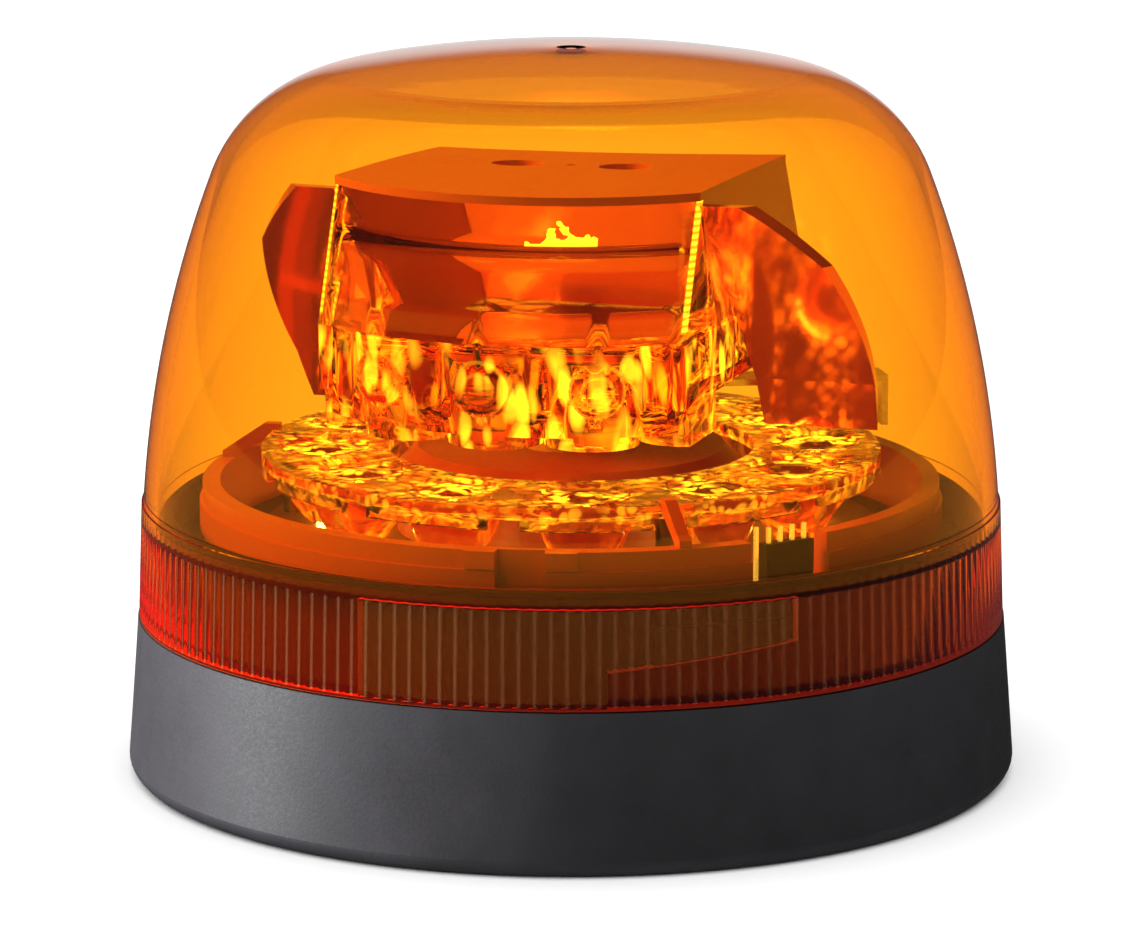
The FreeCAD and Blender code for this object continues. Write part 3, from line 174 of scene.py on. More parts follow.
# sky and lights, in metres and watts
studio = {
    "softboxes": (
        # name, place, aim, width, height, power, seen in gloss, what it lights
        ("leftLight", (-1.25, 0.1, 0.85), (0, 0, 0.07), 0.5, 0.7, 46.0, False, "object"),
        ("mirrorLight", (-0.15, -1.5, 0.06), (0, 0, 0.1), 0.9, 0.08, 48.0, False, "mirrors"),
        ("baseLight", (-1.4, -0.15, 0.3), (0, 0, 0.02), 0.5, 1.0, 40.0, True, "base"),
        ("skirtLight", (-1.4, -0.02, 0.3), (0, 0, 0.04), 0.5, 0.8, 18.0, False, "skirt"),
        ("glintLight", (-0.5, -0.55, 1.1), (0, 0, 0.08), 0.16, 0.16, 4.0, True, "optics"),
        ("sideGlint", (0.9, 0.1, 0.8), (0, 0, 0.08), 0.16, 0.16, 2.0, True, "optics"),
    ),
    "lit": {
        "base": ("base_housing",),
        "skirt": ("amberDome",),
        "mirrors": ("rear_mirror", "right_reflector", "left_reflector"),
        "optics": ("RotorPrismFine", "CollimatorOpticFine", "left_reflector", "right_reflector",
                   "rear_mirror", "optic_carrier", "rotor_cover"),
    },
    "overhead": (4.8, 130.0, (-0.1, -0.05, 1.0)),  # strength, softness in degrees, where it comes from
    # bright parts of the sky behind the beacon, as gloss and clear pieces see them:
    # back from, full at, height from, gone at, level
    "glossPatch": (0.98, 0.997, 0.12, 0.25, 0.8),
    "throughPatch": (0.7, 0.95, 0.3, 0.6, 1.0),
    "skyFront": 0.06,
    "skyBack": 1.0,
    "skySeen": 1.0,  # the plain backdrop
    "skyColour": (1.0, 1.0, 1.0, 1.0),
}


def makeSky():
    world = bpy.data.worlds.new("studioSky")
    bpy.context.scene.world = world
    world.use_nodes = True
    tree = world.node_tree
    axes = split(tree, tree.nodes.new("ShaderNodeTexCoord").outputs["Generated"])
    height = maths(tree, "ABSOLUTE", axes[2])
    patches = []
    for start, full, low, gone, level in (studio["glossPatch"], studio["throughPatch"]):
        behind = fade(tree, axes[1], start, full)
        patches.append(times(tree, behind, fade(tree, height, low, gone, level, 0.0)))
    path = tree.nodes.new("ShaderNodeLightPath")
    both = blend(tree, "FLOAT", path.outputs["Is Transmission Ray"], *patches)
    bright = fade(tree, both, 0.0, 1.0, studio["skyFront"], studio["skyBack"])
    seen = blend(tree, "FLOAT", path.outputs["Is Camera Ray"], bright, studio["skySeen"])
    feed(tree, tree.nodes["Background"], {"Strength": seen, "Color": studio["skyColour"]})
    print("sky made")


def makeLights():
    for name, place, aim, width, height, power, gloss, lit in studio["softboxes"]:
        bpy.ops.object.light_add(type="AREA", location=place)
        light = bpy.context.object
        light.name = name
        light.data.shape = "RECTANGLE"
        light.data.size = width
        light.data.size_y = height
        light.data.energy = power
        light.visible_glossy = gloss
        light.visible_transmission = False
        light.rotation_mode = "QUATERNION"
        light.rotation_quaternion = (Vector(aim) - Vector(place)).to_track_quat("-Z", "Y")
        group = bpy.data.collections.new(name + "Lit")
        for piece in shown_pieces():
            if lit == "object" or piece.name in studio["lit"][lit]:
                group.objects.link(piece)
        light.light_linking.receiver_collection = group
    # the overhead light falls on the floor alone
    strength, softness, source = studio["overhead"]
    bpy.ops.object.light_add(type="SUN", location=(0, 0, 1))
    overhead = bpy.context.object
    overhead.name = "overheadLight"
    overhead.data.energy = strength
    overhead.data.angle = math.radians(softness)
    overhead.visible_glossy = False
    overhead.light_linking.receiver_collection = bpy.data.collections.new("floorLit")
    overhead.rotation_mode = "QUATERNION"
    overhead.rotation_quaternion = Vector(source).to_track_quat("Z", "Y")
    print("lights set:", len(studio["softboxes"]) + 1)


# floor
floorLook = {
    "size": 9.0,
    "colour": (0.93, 0.93, 0.93, 1.0),
    "fleck": (0.9, 0.9, 0.9, 1.0),
    "fibre": 900.0,  # to the metre
    "rough": 0.9,
    "sheen": 0.1,
}


def makeFloor():
    bpy.ops.mesh.primitive_plane_add(size=floorLook["size"], location=(0, 0, 0))
    floor = bpy.context.object
    floor.name = "studioFloor"
    floor.visible_glossy = False
    bpy.data.collections["floorLit"].objects.link(floor)
    floor.data.materials.append(plainPaper())
    print("floor laid")


def plainPaper():
    paper, tree, surface, place = newFinish("floorPaper")
    fibre = noise(tree, place, floorLook["fibre"]).outputs["Fac"]
    shade = blend(tree, "RGBA", fibre, floorLook["colour"], floorLook["fleck"])
    feed(tree, surface, {
        "Base Color": shade, "Roughness": floorLook["rough"], "Specular IOR Level": floorLook["sheen"]})
    return paper


# solid finishes
solidLook = {
    "fine": (4.0, 0.6),  # detail and roughness of the grain
    "broad": (3.0, 0.55),  # and of the mottle
    "coarser": 14.0,  # the mottle is so many times coarser than the grain
    "edge": (0.5, 0.62),  # how sharp an edge is where wear begins, and where it is full
    "worn": (1.5, 0.06),  # a worn edge's colour is times this, plus this
    "grainSpan": (0.3, 0.7),  # the part of the grain that shows in the gloss
    "roughSpan": (0.85, 1.15),  # how far the gloss varies about its roughness
    "bump": 0.4,
    "glowColour": (1.0, 0.85, 0.5, 1.0),
}


def solidFinish(name, colour, rough, metal, grain, grainDepth, mottle, wear, glow=0.0,
                glowColour=solidLook["glowColour"]):
    finish, tree, surface, place = newFinish(name)
    brighter, added = solidLook["worn"]
    least, most = solidLook["roughSpan"]
    fine = noise(tree, place, grain, *solidLook["fine"]).outputs["Fac"]
    broad = noise(tree, place, grain / solidLook["coarser"], *solidLook["broad"]).outputs["Fac"]
    dark = (*[c * (1 - mottle) for c in colour], 1.0)
    light = (*[min(1.0, c * (1 + mottle)) for c in colour], 1.0)
    bare = (*[min(1.0, c * brighter + added) for c in colour], 1.0)
    shade = blend(tree, "RGBA", broad, dark, light)
    edge = tree.nodes.new("ShaderNodeNewGeometry").outputs["Pointiness"]
    worn = blend(tree, "RGBA", fade(tree, edge, *solidLook["edge"], 0.0, wear), shade, bare)
    feed(tree, surface, {
        "Base Color": worn,
        "Metallic": metal,
        "Roughness": fade(tree, fine, *solidLook["grainSpan"], rough * least, min(1.0, rough * most)),
        "Normal": bumped(tree, fine, solidLook["bump"], grainDepth).outputs["Normal"],
    })
    # glow: the lamps' own light, and on the pins and recess edges a painted highlight
    if glow:
        feed(tree, surface, {"Emission Color": glowColour, "Emission Strength": glow})
    return finish


# clear finishes
clearLook = {
    "index": 1.5,
    "haze": (260.0, 5.0, 0.6),  # scale, detail and roughness of the worn film
    "hazeSpan": (0.35, 0.75),  # the part of the film that shows in the gloss
    "roughSpan": (0.5, 1.6),  # how far the gloss varies about its roughness
    "flow": (38.0, 2.0, 0.5),  # the same for the moulding's waves
    "flowBump": 0.5,
    "facetBump": 1.0,
    "facetFade": 0.5,  # height in which the facets end
    "stripeSpan": (0.5, 0.98),  # the part of a ripple that is a stripe
    "plain": (1.0, 1.0, 1.0),
}


def clearFinish(name, tint, density, rough, wave, sheen=0.5, tone=clearLook["plain"],
                facets=None, sparkle=None, body=0.0, stripes=None):
    finish, tree, surface, place = newFinish(name)
    least, most = clearLook["roughSpan"]
    haze = noise(tree, place, *clearLook["haze"]).outputs["Fac"]
    flow = noise(tree, place, *clearLook["flow"]).outputs["Fac"]
    normal = bumped(tree, flow, clearLook["flowBump"], wave).outputs["Normal"]
    if facets:
        normal = cutFacets(tree, place, normal, facets)
    feed(tree, surface, {
        "Base Color": (*tone, 1.0),
        "Transmission Weight": 1.0 - body,
        "IOR": clearLook["index"],
        "Specular IOR Level": sheen,
        "Roughness": fade(tree, haze, *clearLook["hazeSpan"], rough * least, rough * most),
        "Normal": normal,
    })
    if stripes:
        count, strength = stripes
        x, y = split(tree, place)[:2]
        ripple = maths(tree, "SINE", times(tree, maths(tree, "ARCTAN2", x, y), float(count)))
        clear = fade(tree, ripple, *clearLook["stripeSpan"], 1.0, 1.0 - strength)
        feed(tree, surface, {"Transmission Weight": clear})
    # the optics' glitter is painted: glowing spots in their facets
    if sparkle:
        paintSparkle(tree, place, surface, sparkle)
        finish.cycles.emission_sampling = "NONE"
    # shadow rays go straight through, so light reaches what stands inside
    output = tree.nodes["Material Output"]
    through = addNode(tree, "ShaderNodeBsdfTransparent", {"Color": (1.0, 1.0, 1.0, 1.0)})
    shadow = tree.nodes.new("ShaderNodeLightPath").outputs["Is Shadow Ray"]
    either = addNode(tree, "ShaderNodeMixShader", {
        "Fac": shadow, 1: surface.outputs["BSDF"], 2: through.outputs["BSDF"]})
    inside = addNode(tree, "ShaderNodeVolumeAbsorption", {"Color": (*tint, 1.0), "Density": density})
    feed(tree, output, {"Surface": either.outputs["Shader"], "Volume": inside.outputs["Volume"]})
    return finish


def cutFacets(tree, place, normal, facets):
    size, depth, stretch, top = facets
    height = cells(tree, mapped(tree, place, (0, 0, 0), (1.0, 1.0, stretch)), size)
    if top:
        low = (top - clearLook["facetFade"]) * mm
        height = times(tree, height, fade(tree, split(tree, place)[2], top * mm, low))
    cut = bumped(tree, height, clearLook["facetBump"], depth)
    feed(tree, cut, {"Normal": normal})
    return cut.outputs["Normal"]


# painted highlights in the rotor's window, whose front leans back as it rises
windowLight = {
    "halfWidth": 34.0,
    "foot": 89.4,
    "top": 113.3,
    "footRadius": 53.0,
    "topRadius": 46.0,
    "skin": (0.8, 1.3),  # how deep under the front the light is full, and where it is gone
    "line": 0.6,  # width of a corner's line
    "lineFade": 0.2,
    "footFade": 0.5,
    "rib": 1.2,  # from one bright rib of the line to the next
    "ribSpan": (0.35, 1.0),  # light between ribs, and on them
    "rim": (0.6, 0.4),  # below the top, where the rim's light starts, and where it is full
    "rimSpan": (-20.0, 15.0),  # across the window, from full to gone
    "flareHeight": (104.9, 111.0),
    "flareSpan": (6.0, 20.0),
    "flareFade": 3.0,
    "flareFoot": 0.2,
    "flameScale": 330.0,  # of the flare's ragged top, to the metre
    "flameRise": 0.5,  # the flare thins out by this much as it rises
    "flameLeast": 0.36,
    "flameShare": 0.3,
}


def paintedWindowHighlights(tree, place, x, z, out):
    # painted highlights along the window's two front corners and its top edge, and a painted reflection in
    # the middle of its top band
    look = windowLight

    def ramp(value, low, high):
        return fade(tree, value, low * mm, high * mm)

    foot, top, half = look["foot"], look["top"], look["halfWidth"]
    taper = (look["topRadius"] - look["footRadius"]) / (top - foot)
    front = maths(tree, "ADD", times(tree, z, taper), (look["footRadius"] - foot * taper) * mm)
    outer = leftOver(tree, ramp(maths(tree, "SUBTRACT", front, out), *look["skin"]))

    corner = half - look["line"]
    line = ramp(maths(tree, "ABSOLUTE", x), corner - look["lineFade"], corner)
    ribs = maths(tree, "SINE", times(tree, z, 2 * math.pi / (look["rib"] * mm)))
    ribbed = fade(tree, ribs, -1.0, 1.0, *look["ribSpan"])
    sides = times(tree, line, outer, ribbed, ramp(z, foot, foot + look["footFade"]))

    under, over = look["rim"]
    rim = times(tree, ramp(z, top - under, top - over), leftOver(tree, ramp(x, *look["rimSpan"])), outer)

    # the flare is a painted reflection: a ragged bright patch in the middle of the top band
    low, high = look["flareHeight"]
    left, right = look["flareSpan"]
    flame = noise(tree, place, look["flameScale"]).outputs["Fac"]
    least = maths(tree, "ADD", times(tree, ramp(z, low, high), look["flameRise"]), look["flameLeast"])
    lick = maths(tree, "GREATER_THAN", flame, least)
    span = times(tree, ramp(x, left, left + look["flareFade"]),
                 leftOver(tree, ramp(x, right - look["flareFade"], right)))
    flare = times(tree, lick, ramp(z, low, low + look["flareFoot"]),
                  maths(tree, "GREATER_THAN", span, look["flameShare"]),
                  outer, maths(tree, "LESS_THAN", z, high * mm))
    return maths(tree, "MAXIMUM", maths(tree, "MAXIMUM", sides, rim), flare)


# painted glints in the facets of the rotor's five lobes and of the disc of collimators
paintedGlintLook = {
    "colour": (1.0, 0.66, 0.08, 1.0),
    "bendScale": 0.4,  # the spots are bent by waves of this scale
    "bend": 1.6,  # and this height, as shares of a spot's size
    "core": 0.6,  # a spot is full inside this share of its size
    "lensEdge": (0.9, 1.25),  # in lens radii
    "ringSpan": (0.2, 0.9),  # the part of a wave that is a ring
    "patchSpan": (0.40, 0.58),  # the part of the noise that dims the spots in patches
    "heightFade": 0.5,
    "frontFade": 10.0,  # behind the middle there is no light
}
# size and share of a spot, stretch and lean of the spots, patches to the metre; lenses stand on a
# circle, upright or lying, from the first by steps, each with its radius (lens) and rings
lobePaintedGlints = {
    "size": 3.8, "share": 0.48, "stretch": 0.4, "lean": 28.0, "power": 3.6, "patches": 60.0,
    "upright": True, "circle": 52.0, "height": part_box("rotor_prism")[0].z / mm + 11.0, "turn": 18.0,
    "first": 0.0, "step": 23.0, "lens": 5.6, "rings": 2.6, "ringLight": 0.22, "between": 0.8,
    "low": 68.0, "high": 88.0,
}
discPaintedGlints = {
    "size": 2.2, "share": 0.55, "stretch": 1.0, "lean": 0.0, "power": 4.0, "patches": 120.0,
    "upright": False, "circle": 45.5, "height": 0.0, "turn": 0.0,
    "first": 3.0, "step": 30.0, "lens": 8.2, "rings": 2.0, "ringLight": 0.4, "between": 0.25,
    "low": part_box("collimator_optic")[1].z / mm - 2.6, "high": 90.0,
}


def paintSparkle(tree, place, surface, sparkle):
    # painted glints: glowing spots in the lens facets, brightest in rings round each lens
    look = paintedGlintLook
    size = sparkle["size"] * mm
    straight = mapped(tree, place, (0, 0, sparkle["turn"]), (1.0, 1.0, 1.0))
    turned = mapped(tree, straight, (0, sparkle["lean"], 0), (1.0, 1.0, sparkle["stretch"]))
    bent = noise(tree, turned, look["bendScale"] / size, 1.0).outputs["Color"]
    pushed = tree.nodes.new("ShaderNodeVectorMath")
    pushed.operation = "MULTIPLY_ADD"
    feed(tree, pushed, {0: bent, 1: [size * look["bend"]] * 3, 2: turned})
    spots = cells(tree, pushed.outputs["Vector"], sparkle["size"])

    # how far each place is from the nearest lens of the circle
    x, y, z = split(tree, straight)
    angle = maths(tree, "ARCTAN2", x, times(tree, y, -1.0))
    step = math.radians(sparkle["step"])
    turns = maths(tree, "DIVIDE", maths(tree, "SUBTRACT", angle, math.radians(sparkle["first"])), step)
    off = maths(tree, "SUBTRACT", maths(tree, "FRACT", maths(tree, "ADD", turns, 0.5)), 0.5)
    across = times(tree, off, step * sparkle["circle"] * mm)
    out = longSide(tree, x, y)
    if sparkle["upright"]:
        along = maths(tree, "SUBTRACT", z, sparkle["height"] * mm)
    else:
        along = maths(tree, "SUBTRACT", out, sparkle["circle"] * mm)
    share = maths(tree, "DIVIDE", longSide(tree, across, along), sparkle["lens"] * mm)

    rings = maths(tree, "SINE", times(tree, share, sparkle["rings"] * 2 * math.pi))
    near = fade(tree, share, *look["lensEdge"], 1.0, sparkle["between"])
    small = fade(tree, spots, sparkle["share"], sparkle["share"] * look["core"])
    ringed = fade(tree, rings, *look["ringSpan"])
    some = fade(tree, noise(tree, place, sparkle["patches"]).outputs["Fac"], *look["patchSpan"])
    above = fade(tree, z, sparkle["low"] * mm, (sparkle["low"] + look["heightFade"]) * mm)
    below = fade(tree, z, sparkle["high"] * mm, (sparkle["high"] - look["heightFade"]) * mm)
    inside = times(tree, above, below)
    if sparkle["upright"]:
        inside = times(tree, inside, fade(tree, y, 0.0, -look["frontFade"] * mm))
    ringShine = times(tree, ringed, sparkle["ringLight"], maths(tree, "LESS_THAN", share, 1.0))
    shine = times(tree, maths(tree, "ADD", times(tree, small, near), ringShine), some, inside)
    # the rotor's lobes also carry the window's painted highlights
    if sparkle["upright"]:
        shine = maths(tree, "ADD", shine, paintedWindowHighlights(tree, place, x, z, out))
    # the painted glints are seen, and don't light the pieces round them
    diffuse = tree.nodes.new("ShaderNodeLightPath").outputs["Is Diffuse Ray"]
    feed(tree, surface, {
        "Emission Strength": times(tree, shine, leftOver(tree, diffuse), sparkle["power"]),
        "Emission Color": look["colour"],
    })


solidFinishes = {
    # colour, roughness, metal, grain per metre, grain depth, mottle, wear, glow
    "base_plastic": ((0.030, 0.028, 0.033), 0.5, 0.0, 1500.0, 0.09, 0.30, 0.10),
    "seal_rubber": ((0.02, 0.02, 0.02), 0.8, 0.0, 1100.0, 0.05, 0.10, 0.10),
    "insert_brass": ((0.72, 0.53, 0.22), 0.3, 1.0, 900.0, 0.02, 0.08, 0.2),
    "vent_plastic": ((0.12, 0.12, 0.13), 0.6, 0.0, 900.0, 0.03, 0.08, 0.1),
    "board_laminate": ((0.03, 0.2, 0.08), 0.35, 0.0, 700.0, 0.01, 0.12, 0.1),
    "screw_steel": ((0.62, 0.62, 0.63), 0.3, 1.0, 1300.0, 0.02, 0.06, 0.2),
    "capacitor_aluminium": ((0.72, 0.72, 0.74), 0.35, 1.0, 900.0, 0.01, 0.06, 0.1),
    "choke_core": ((0.09, 0.09, 0.1), 0.5, 0.0, 900.0, 0.03, 0.1, 0.1),
    "chip_plastic": ((0.03, 0.03, 0.032), 0.45, 0.0, 1400.0, 0.02, 0.08, 0.1),
    "connector_plastic": ((0.005, 0.004, 0.004), 0.6, 0.0, 1200.0, 0.02, 0.08, 0.0),
    "sink_aluminium": ((0.07, 0.055, 0.05), 0.5, 0.7, 700.0, 0.03, 0.08, 0.15),
    "lamp_board_laminate": ((0.12, 0.05, 0.03), 0.4, 0.0, 800.0, 0.01, 0.05, 0.0),
    "lamp_resin": ((0.95, 0.82, 0.25), 0.3, 0.0, 1500.0, 0.01, 0.05, 0.0, 25.0),
    # the pins' glow is a painted highlight; the lamps' glow is their own light
    "pin_brass": ((0.85, 0.62, 0.25), 0.25, 1.0, 1300.0, 0.01, 0.05, 0.1, 0.7),
    "carrier_plastic": ((0.46, 0.12, 0.08), 0.33, 0.0, 1000.0, 0.03, 0.05, 0.15),
    "cover_plastic": ((0.3, 0.07, 0.04), 0.45, 0.0, 1000.0, 0.03, 0.08, 0.1),
    "tube_aluminium": ((0.6, 0.6, 0.62), 0.35, 1.0, 900.0, 0.02, 0.05, 0.1),
    "bearing_steel": ((0.66, 0.66, 0.67), 0.25, 1.0, 1200.0, 0.01, 0.05, 0.1),
    "core_steel": ((0.38, 0.38, 0.4), 0.4, 1.0, 1400.0, 0.03, 0.1, 0.1),
    "coil_copper": ((0.72, 0.33, 0.14), 0.35, 1.0, 1600.0, 0.08, 0.12, 0.1),
    "magnet_ferrite": ((0.1, 0.1, 0.11), 0.6, 0.2, 1000.0, 0.04, 0.1, 0.1),
    "yoke_steel": ((0.5, 0.5, 0.52), 0.35, 1.0, 1200.0, 0.02, 0.08, 0.15),
    "shaft_steel": ((0.7, 0.7, 0.71), 0.2, 1.0, 1600.0, 0.01, 0.05, 0.1),
    "clip_steel": ((0.2, 0.2, 0.21), 0.35, 1.0, 1200.0, 0.01, 0.05, 0.1),
    "hub_plastic": ((0.7, 0.4, 0.3), 0.45, 0.0, 1000.0, 0.03, 0.08, 0.1),
    "mirror_coating": ((0.85, 0.3, 0.2), 0.2, 0.4, 260.0, 0.05, 0.05, 0.0),
    "reflector_plastic": ((0.8, 0.22, 0.14), 0.1, 0.85, 260.0, 0.05, 0.05, 0.0),
    "rotor_cover_plastic": ((0.55, 0.17, 0.14), 0.35, 0.0, 1000.0, 0.03, 0.05, 0.1),
    "black_screw": ((0.03, 0.03, 0.03), 0.35, 0.6, 1300.0, 0.02, 0.1, 0.2),
    "weight_steel": ((0.45, 0.45, 0.46), 0.4, 1.0, 1000.0, 0.03, 0.1, 0.2),
    "flag_steel": ((0.6, 0.6, 0.61), 0.3, 1.0, 1000.0, 0.02, 0.06, 0.2),
    "dome_seal_rubber": ((0.02, 0.012, 0.01), 0.7, 0.0, 1200.0, 0.03, 0.08, 0.1),
}
amber = ((0.9944, 0.805, 0.11), 1000.0)  # tint and density, which the wall's thickness turns to colour
clearFinishes = {
    # name, tint and density, and then what is its own; facets are size, depth, stretch and top,
    # and stripes are how many go round, and their strength
    "amber_dome": ("amberDomeLook", amber, {"rough": 0.02, "wave": 0.02, "sheen": 0.1}),
    "amber_skirt": ("amberSkirtLook", amber, {
        "rough": 0.05, "wave": 0.02, "sheen": 0.2, "tone": (0.95, 0.36, 0.16), "body": 0.07}),
    "amber_flutes": ("amberFlutesLook", amber, {
        "rough": 0.05, "wave": 0.02, "sheen": 0.2, "tone": (1.0, 0.47, 0.2), "stripes": (180, 0.06)}),
    "prism_optic": ("prismLook", ((0.996, 0.7, 0.1), 150.0), {
        "rough": 0.04, "wave": 0.03, "facets": (6.0, 0.22, 0.35, 87.6), "sparkle": lobePaintedGlints}),
    "clear_optic": ("collimatorLook", ((0.99, 0.66, 0.15), 150.0), {
        "rough": 0.12, "wave": 0.05, "facets": (4.0, 0.12, 1.0, 0.0), "sparkle": discPaintedGlints}),
}
# the recess edges and the dome's foot glow red: a painted highlight of thin lines along them
recessEdgeHighlight = {
    "colour": (0.7, 0.08, 0.03), "rough": 0.4, "metal": 0.0, "grain": 900.0, "grainDepth": 0.01,
    "mottle": 0.1, "wear": 0.0, "glow": 0.12, "glowColour": (1.0, 0.06, 0.02, 1.0),
}
# the collar band's colour is painted shade with an amber tint
collar = {"height": (29.2, 29.6), "colour": (0.014, 0.004, 0.003, 1.0), "rough": 0.9}
finishes = {}


def makeFinishes():
    for name, values in solidFinishes.items():
        finishes[name] = solidFinish(name + "Look", *values)
    paintCollarShade(finishes["base_plastic"])
    for slot, (name, glass, values) in clearFinishes.items():
        finishes[slot] = clearFinish(name, *glass, **values)
    finishes["amber_edges"] = solidFinish("amberEdgeHighlightLook", **recessEdgeHighlight)
    print("finishes made:", len(finishes))


def paintCollarShade(finish):
    # the base's collar, inside the dome's skirt, is duller, and its colour is painted shade: darker and
    # redder, standing in for the amber-tinted shade inside the skirt
    tree = finish.node_tree
    surface = tree.nodes["Principled BSDF"]
    place = tree.nodes.new("ShaderNodeTexCoord").outputs["Object"]
    start, end = collar["height"]
    inside = fade(tree, split(tree, place)[2], start * mm, end * mm)
    plain, rough = (surface.inputs[name].links[0].from_socket for name in ("Base Color", "Roughness"))
    paintedShade = blend(tree, "RGBA", inside, plain, collar["colour"])
    dull = blend(tree, "FLOAT", inside, rough, collar["rough"])
    feed(tree, surface, {"Base Color": paintedShade, "Roughness": dull})


def dressNodes():
    slots = {part["node"]: part["material_slot"] for part in frame["record"]["subparts"]}
    for name, node in nodes.items():
        node.data.materials.clear()
        node.data.materials.append(finishes[slots[name]])
    print("nodes dressed:", len(slots))
    return slots


# mesh helpers
def nothingSelected():
    if bpy.context.object and bpy.context.object.mode != "OBJECT":
        bpy.ops.object.mode_set(mode="OBJECT")
    bpy.ops.object.select_all(action="DESELECT")


def profileSpun(name, points, steps, weld):
    # a point is drawn out along the closed profile, and the profile is spun round the upright axis
    nothingSelected()
    bpy.ops.mesh.primitive_plane_add(size=mm, location=(points[0][0] * mm, 0, points[0][1] * mm))
    piece = bpy.context.object
    piece.name = name
    bpy.ops.object.transform_apply(location=True)
    bpy.ops.object.mode_set(mode="EDIT")
    bpy.ops.mesh.select_all(action="SELECT")
    bpy.ops.mesh.merge(type="CENTER")
    last = points[0]
    for point in points[1:] + points[:1]:
        step = ((point[0] - last[0]) * mm, 0, (point[1] - last[1]) * mm)
        bpy.ops.mesh.extrude_region_move(TRANSFORM_OT_translate={"value": step})
        last = point
    bpy.ops.mesh.select_all(action="SELECT")
    bpy.ops.mesh.remove_doubles(threshold=weld[0] * mm)
    bpy.ops.mesh.spin(steps=steps, angle=2 * math.pi, center=(0, 0, 0), axis=(0, 0, 1))
    bpy.ops.mesh.select_all(action="SELECT")
    bpy.ops.mesh.remove_doubles(threshold=weld[1] * mm)
    bpy.ops.mesh.normals_make_consistent(inside=False)
    bpy.ops.mesh.select_all(action="DESELECT")
    bpy.ops.object.mode_set(mode="OBJECT")
    return piece


def selectPlaces(piece, test, faces=False):
    # leaves the piece in edit mode, with the points or faces that pass the test selected
    bpy.ops.object.mode_set(mode="EDIT")
    bpy.ops.mesh.select_mode(type="FACE" if faces else "VERT")
    bpy.ops.mesh.select_all(action="DESELECT")
    bpy.ops.object.mode_set(mode="OBJECT")
    for part in piece.data.polygons if faces else piece.data.vertices:
        if test(part.center if faces else part.co):
            part.select = True
    bpy.ops.object.mode_set(mode="EDIT")


def widen(scale):
    bpy.ops.transform.resize(value=(scale, scale, 1.0), center_override=(0, 0, 0))


def fromAxis(place):
    return math.hypot(place.x, place.y) / mm


def fromFront(place):
    return math.degrees(math.atan2(place.x, -place.y))


# dome
dome = {
    "wall": 2.6,
    "footRadius": 80.3,
    "skirtTop": 79.55,
    "ridge": (79.2, 50.7),  # radius, height
    "ridgeRound": (0.12, 0.15),  # in and down, under the ridge
    "lean": 3.76,  # of the wall above the ridge, in degrees
    "arcs": ((208.5, 17.1, 18), (30.0, 58.6, 22)),  # radius, degrees, steps
    "capSteps": 9,
    "bore": 76.7,
    "boreTop": 2.0,  # below the ridge
    "recess": 78.5,
    "recessTop": 47.0,
    "recessAngles": (-28.0, 30.0),
    "recessTurns": (0.0, 120.0, 240.0),
    "rampAngles": (4.6, 30.0),  # the recess is open to the foot left of the ramp
    "rampHeights": (35.8, 39.2),
    "gate": (2.6, 0.7, 0.9, 0.45),  # well radius, depth, nib radius, nib height
    "gateRound": 0.12,
    "gateTaper": 0.1,
    "gateMargin": 0.5,  # the cap's points end this far outside the well
    "flutes": 180,
    "fluteDepth": 0.28,
    "fluteSpan": (29.9, 47.1),
    "fluteRound": 0.25,
    "fluteLanes": (((2,), 1.0), ((1, 3), 0.5)),  # columns of a flute, and their share of its depth
    "columns": 720,  # round the turned shell, four to a flute
    "near": 0.1,  # how close to its radius or height a point or face is taken to be on it
    "weld": (0.0001, 0.001, 0.002),  # of the profile, the turned shell and the cut recesses
    "smooth": 24.0,
    "finishes": ("amber_skirt", "amber_flutes", "amber_edges"),  # after the dome's own
}


def arcPoints(centre, radius, angle, sweep, steps):
    points = []
    for step in range(steps + 1):
        a = math.radians(angle + sweep * step / steps)
        points.append((centre[0] + radius * math.sin(a), centre[1] - radius * math.cos(a)))
    return points


def domeCurve(inset):
    # the wall's outline above the ridge: two arcs and a cap that meets the axis level
    radius, height = dome["ridge"]
    angle = 90.0 + dome["lean"]
    x, z = radius, height
    points = []
    for bend, sweep, steps in dome["arcs"]:
        start = math.radians(angle)
        centre = (x - bend * math.sin(start), z + bend * math.cos(start))
        points += arcPoints(centre, bend - inset, angle, sweep, steps)[:-1]
        angle += sweep
        end = math.radians(angle)
        x, z = centre[0] + bend * math.sin(end), centre[1] - bend * math.cos(end)
    start = math.radians(angle)
    bend = x / math.sin(start)
    centre = (0.0, z + bend * math.cos(start))
    return points + arcPoints(centre, bend - inset, angle, 180.0 - angle, dome["capSteps"])


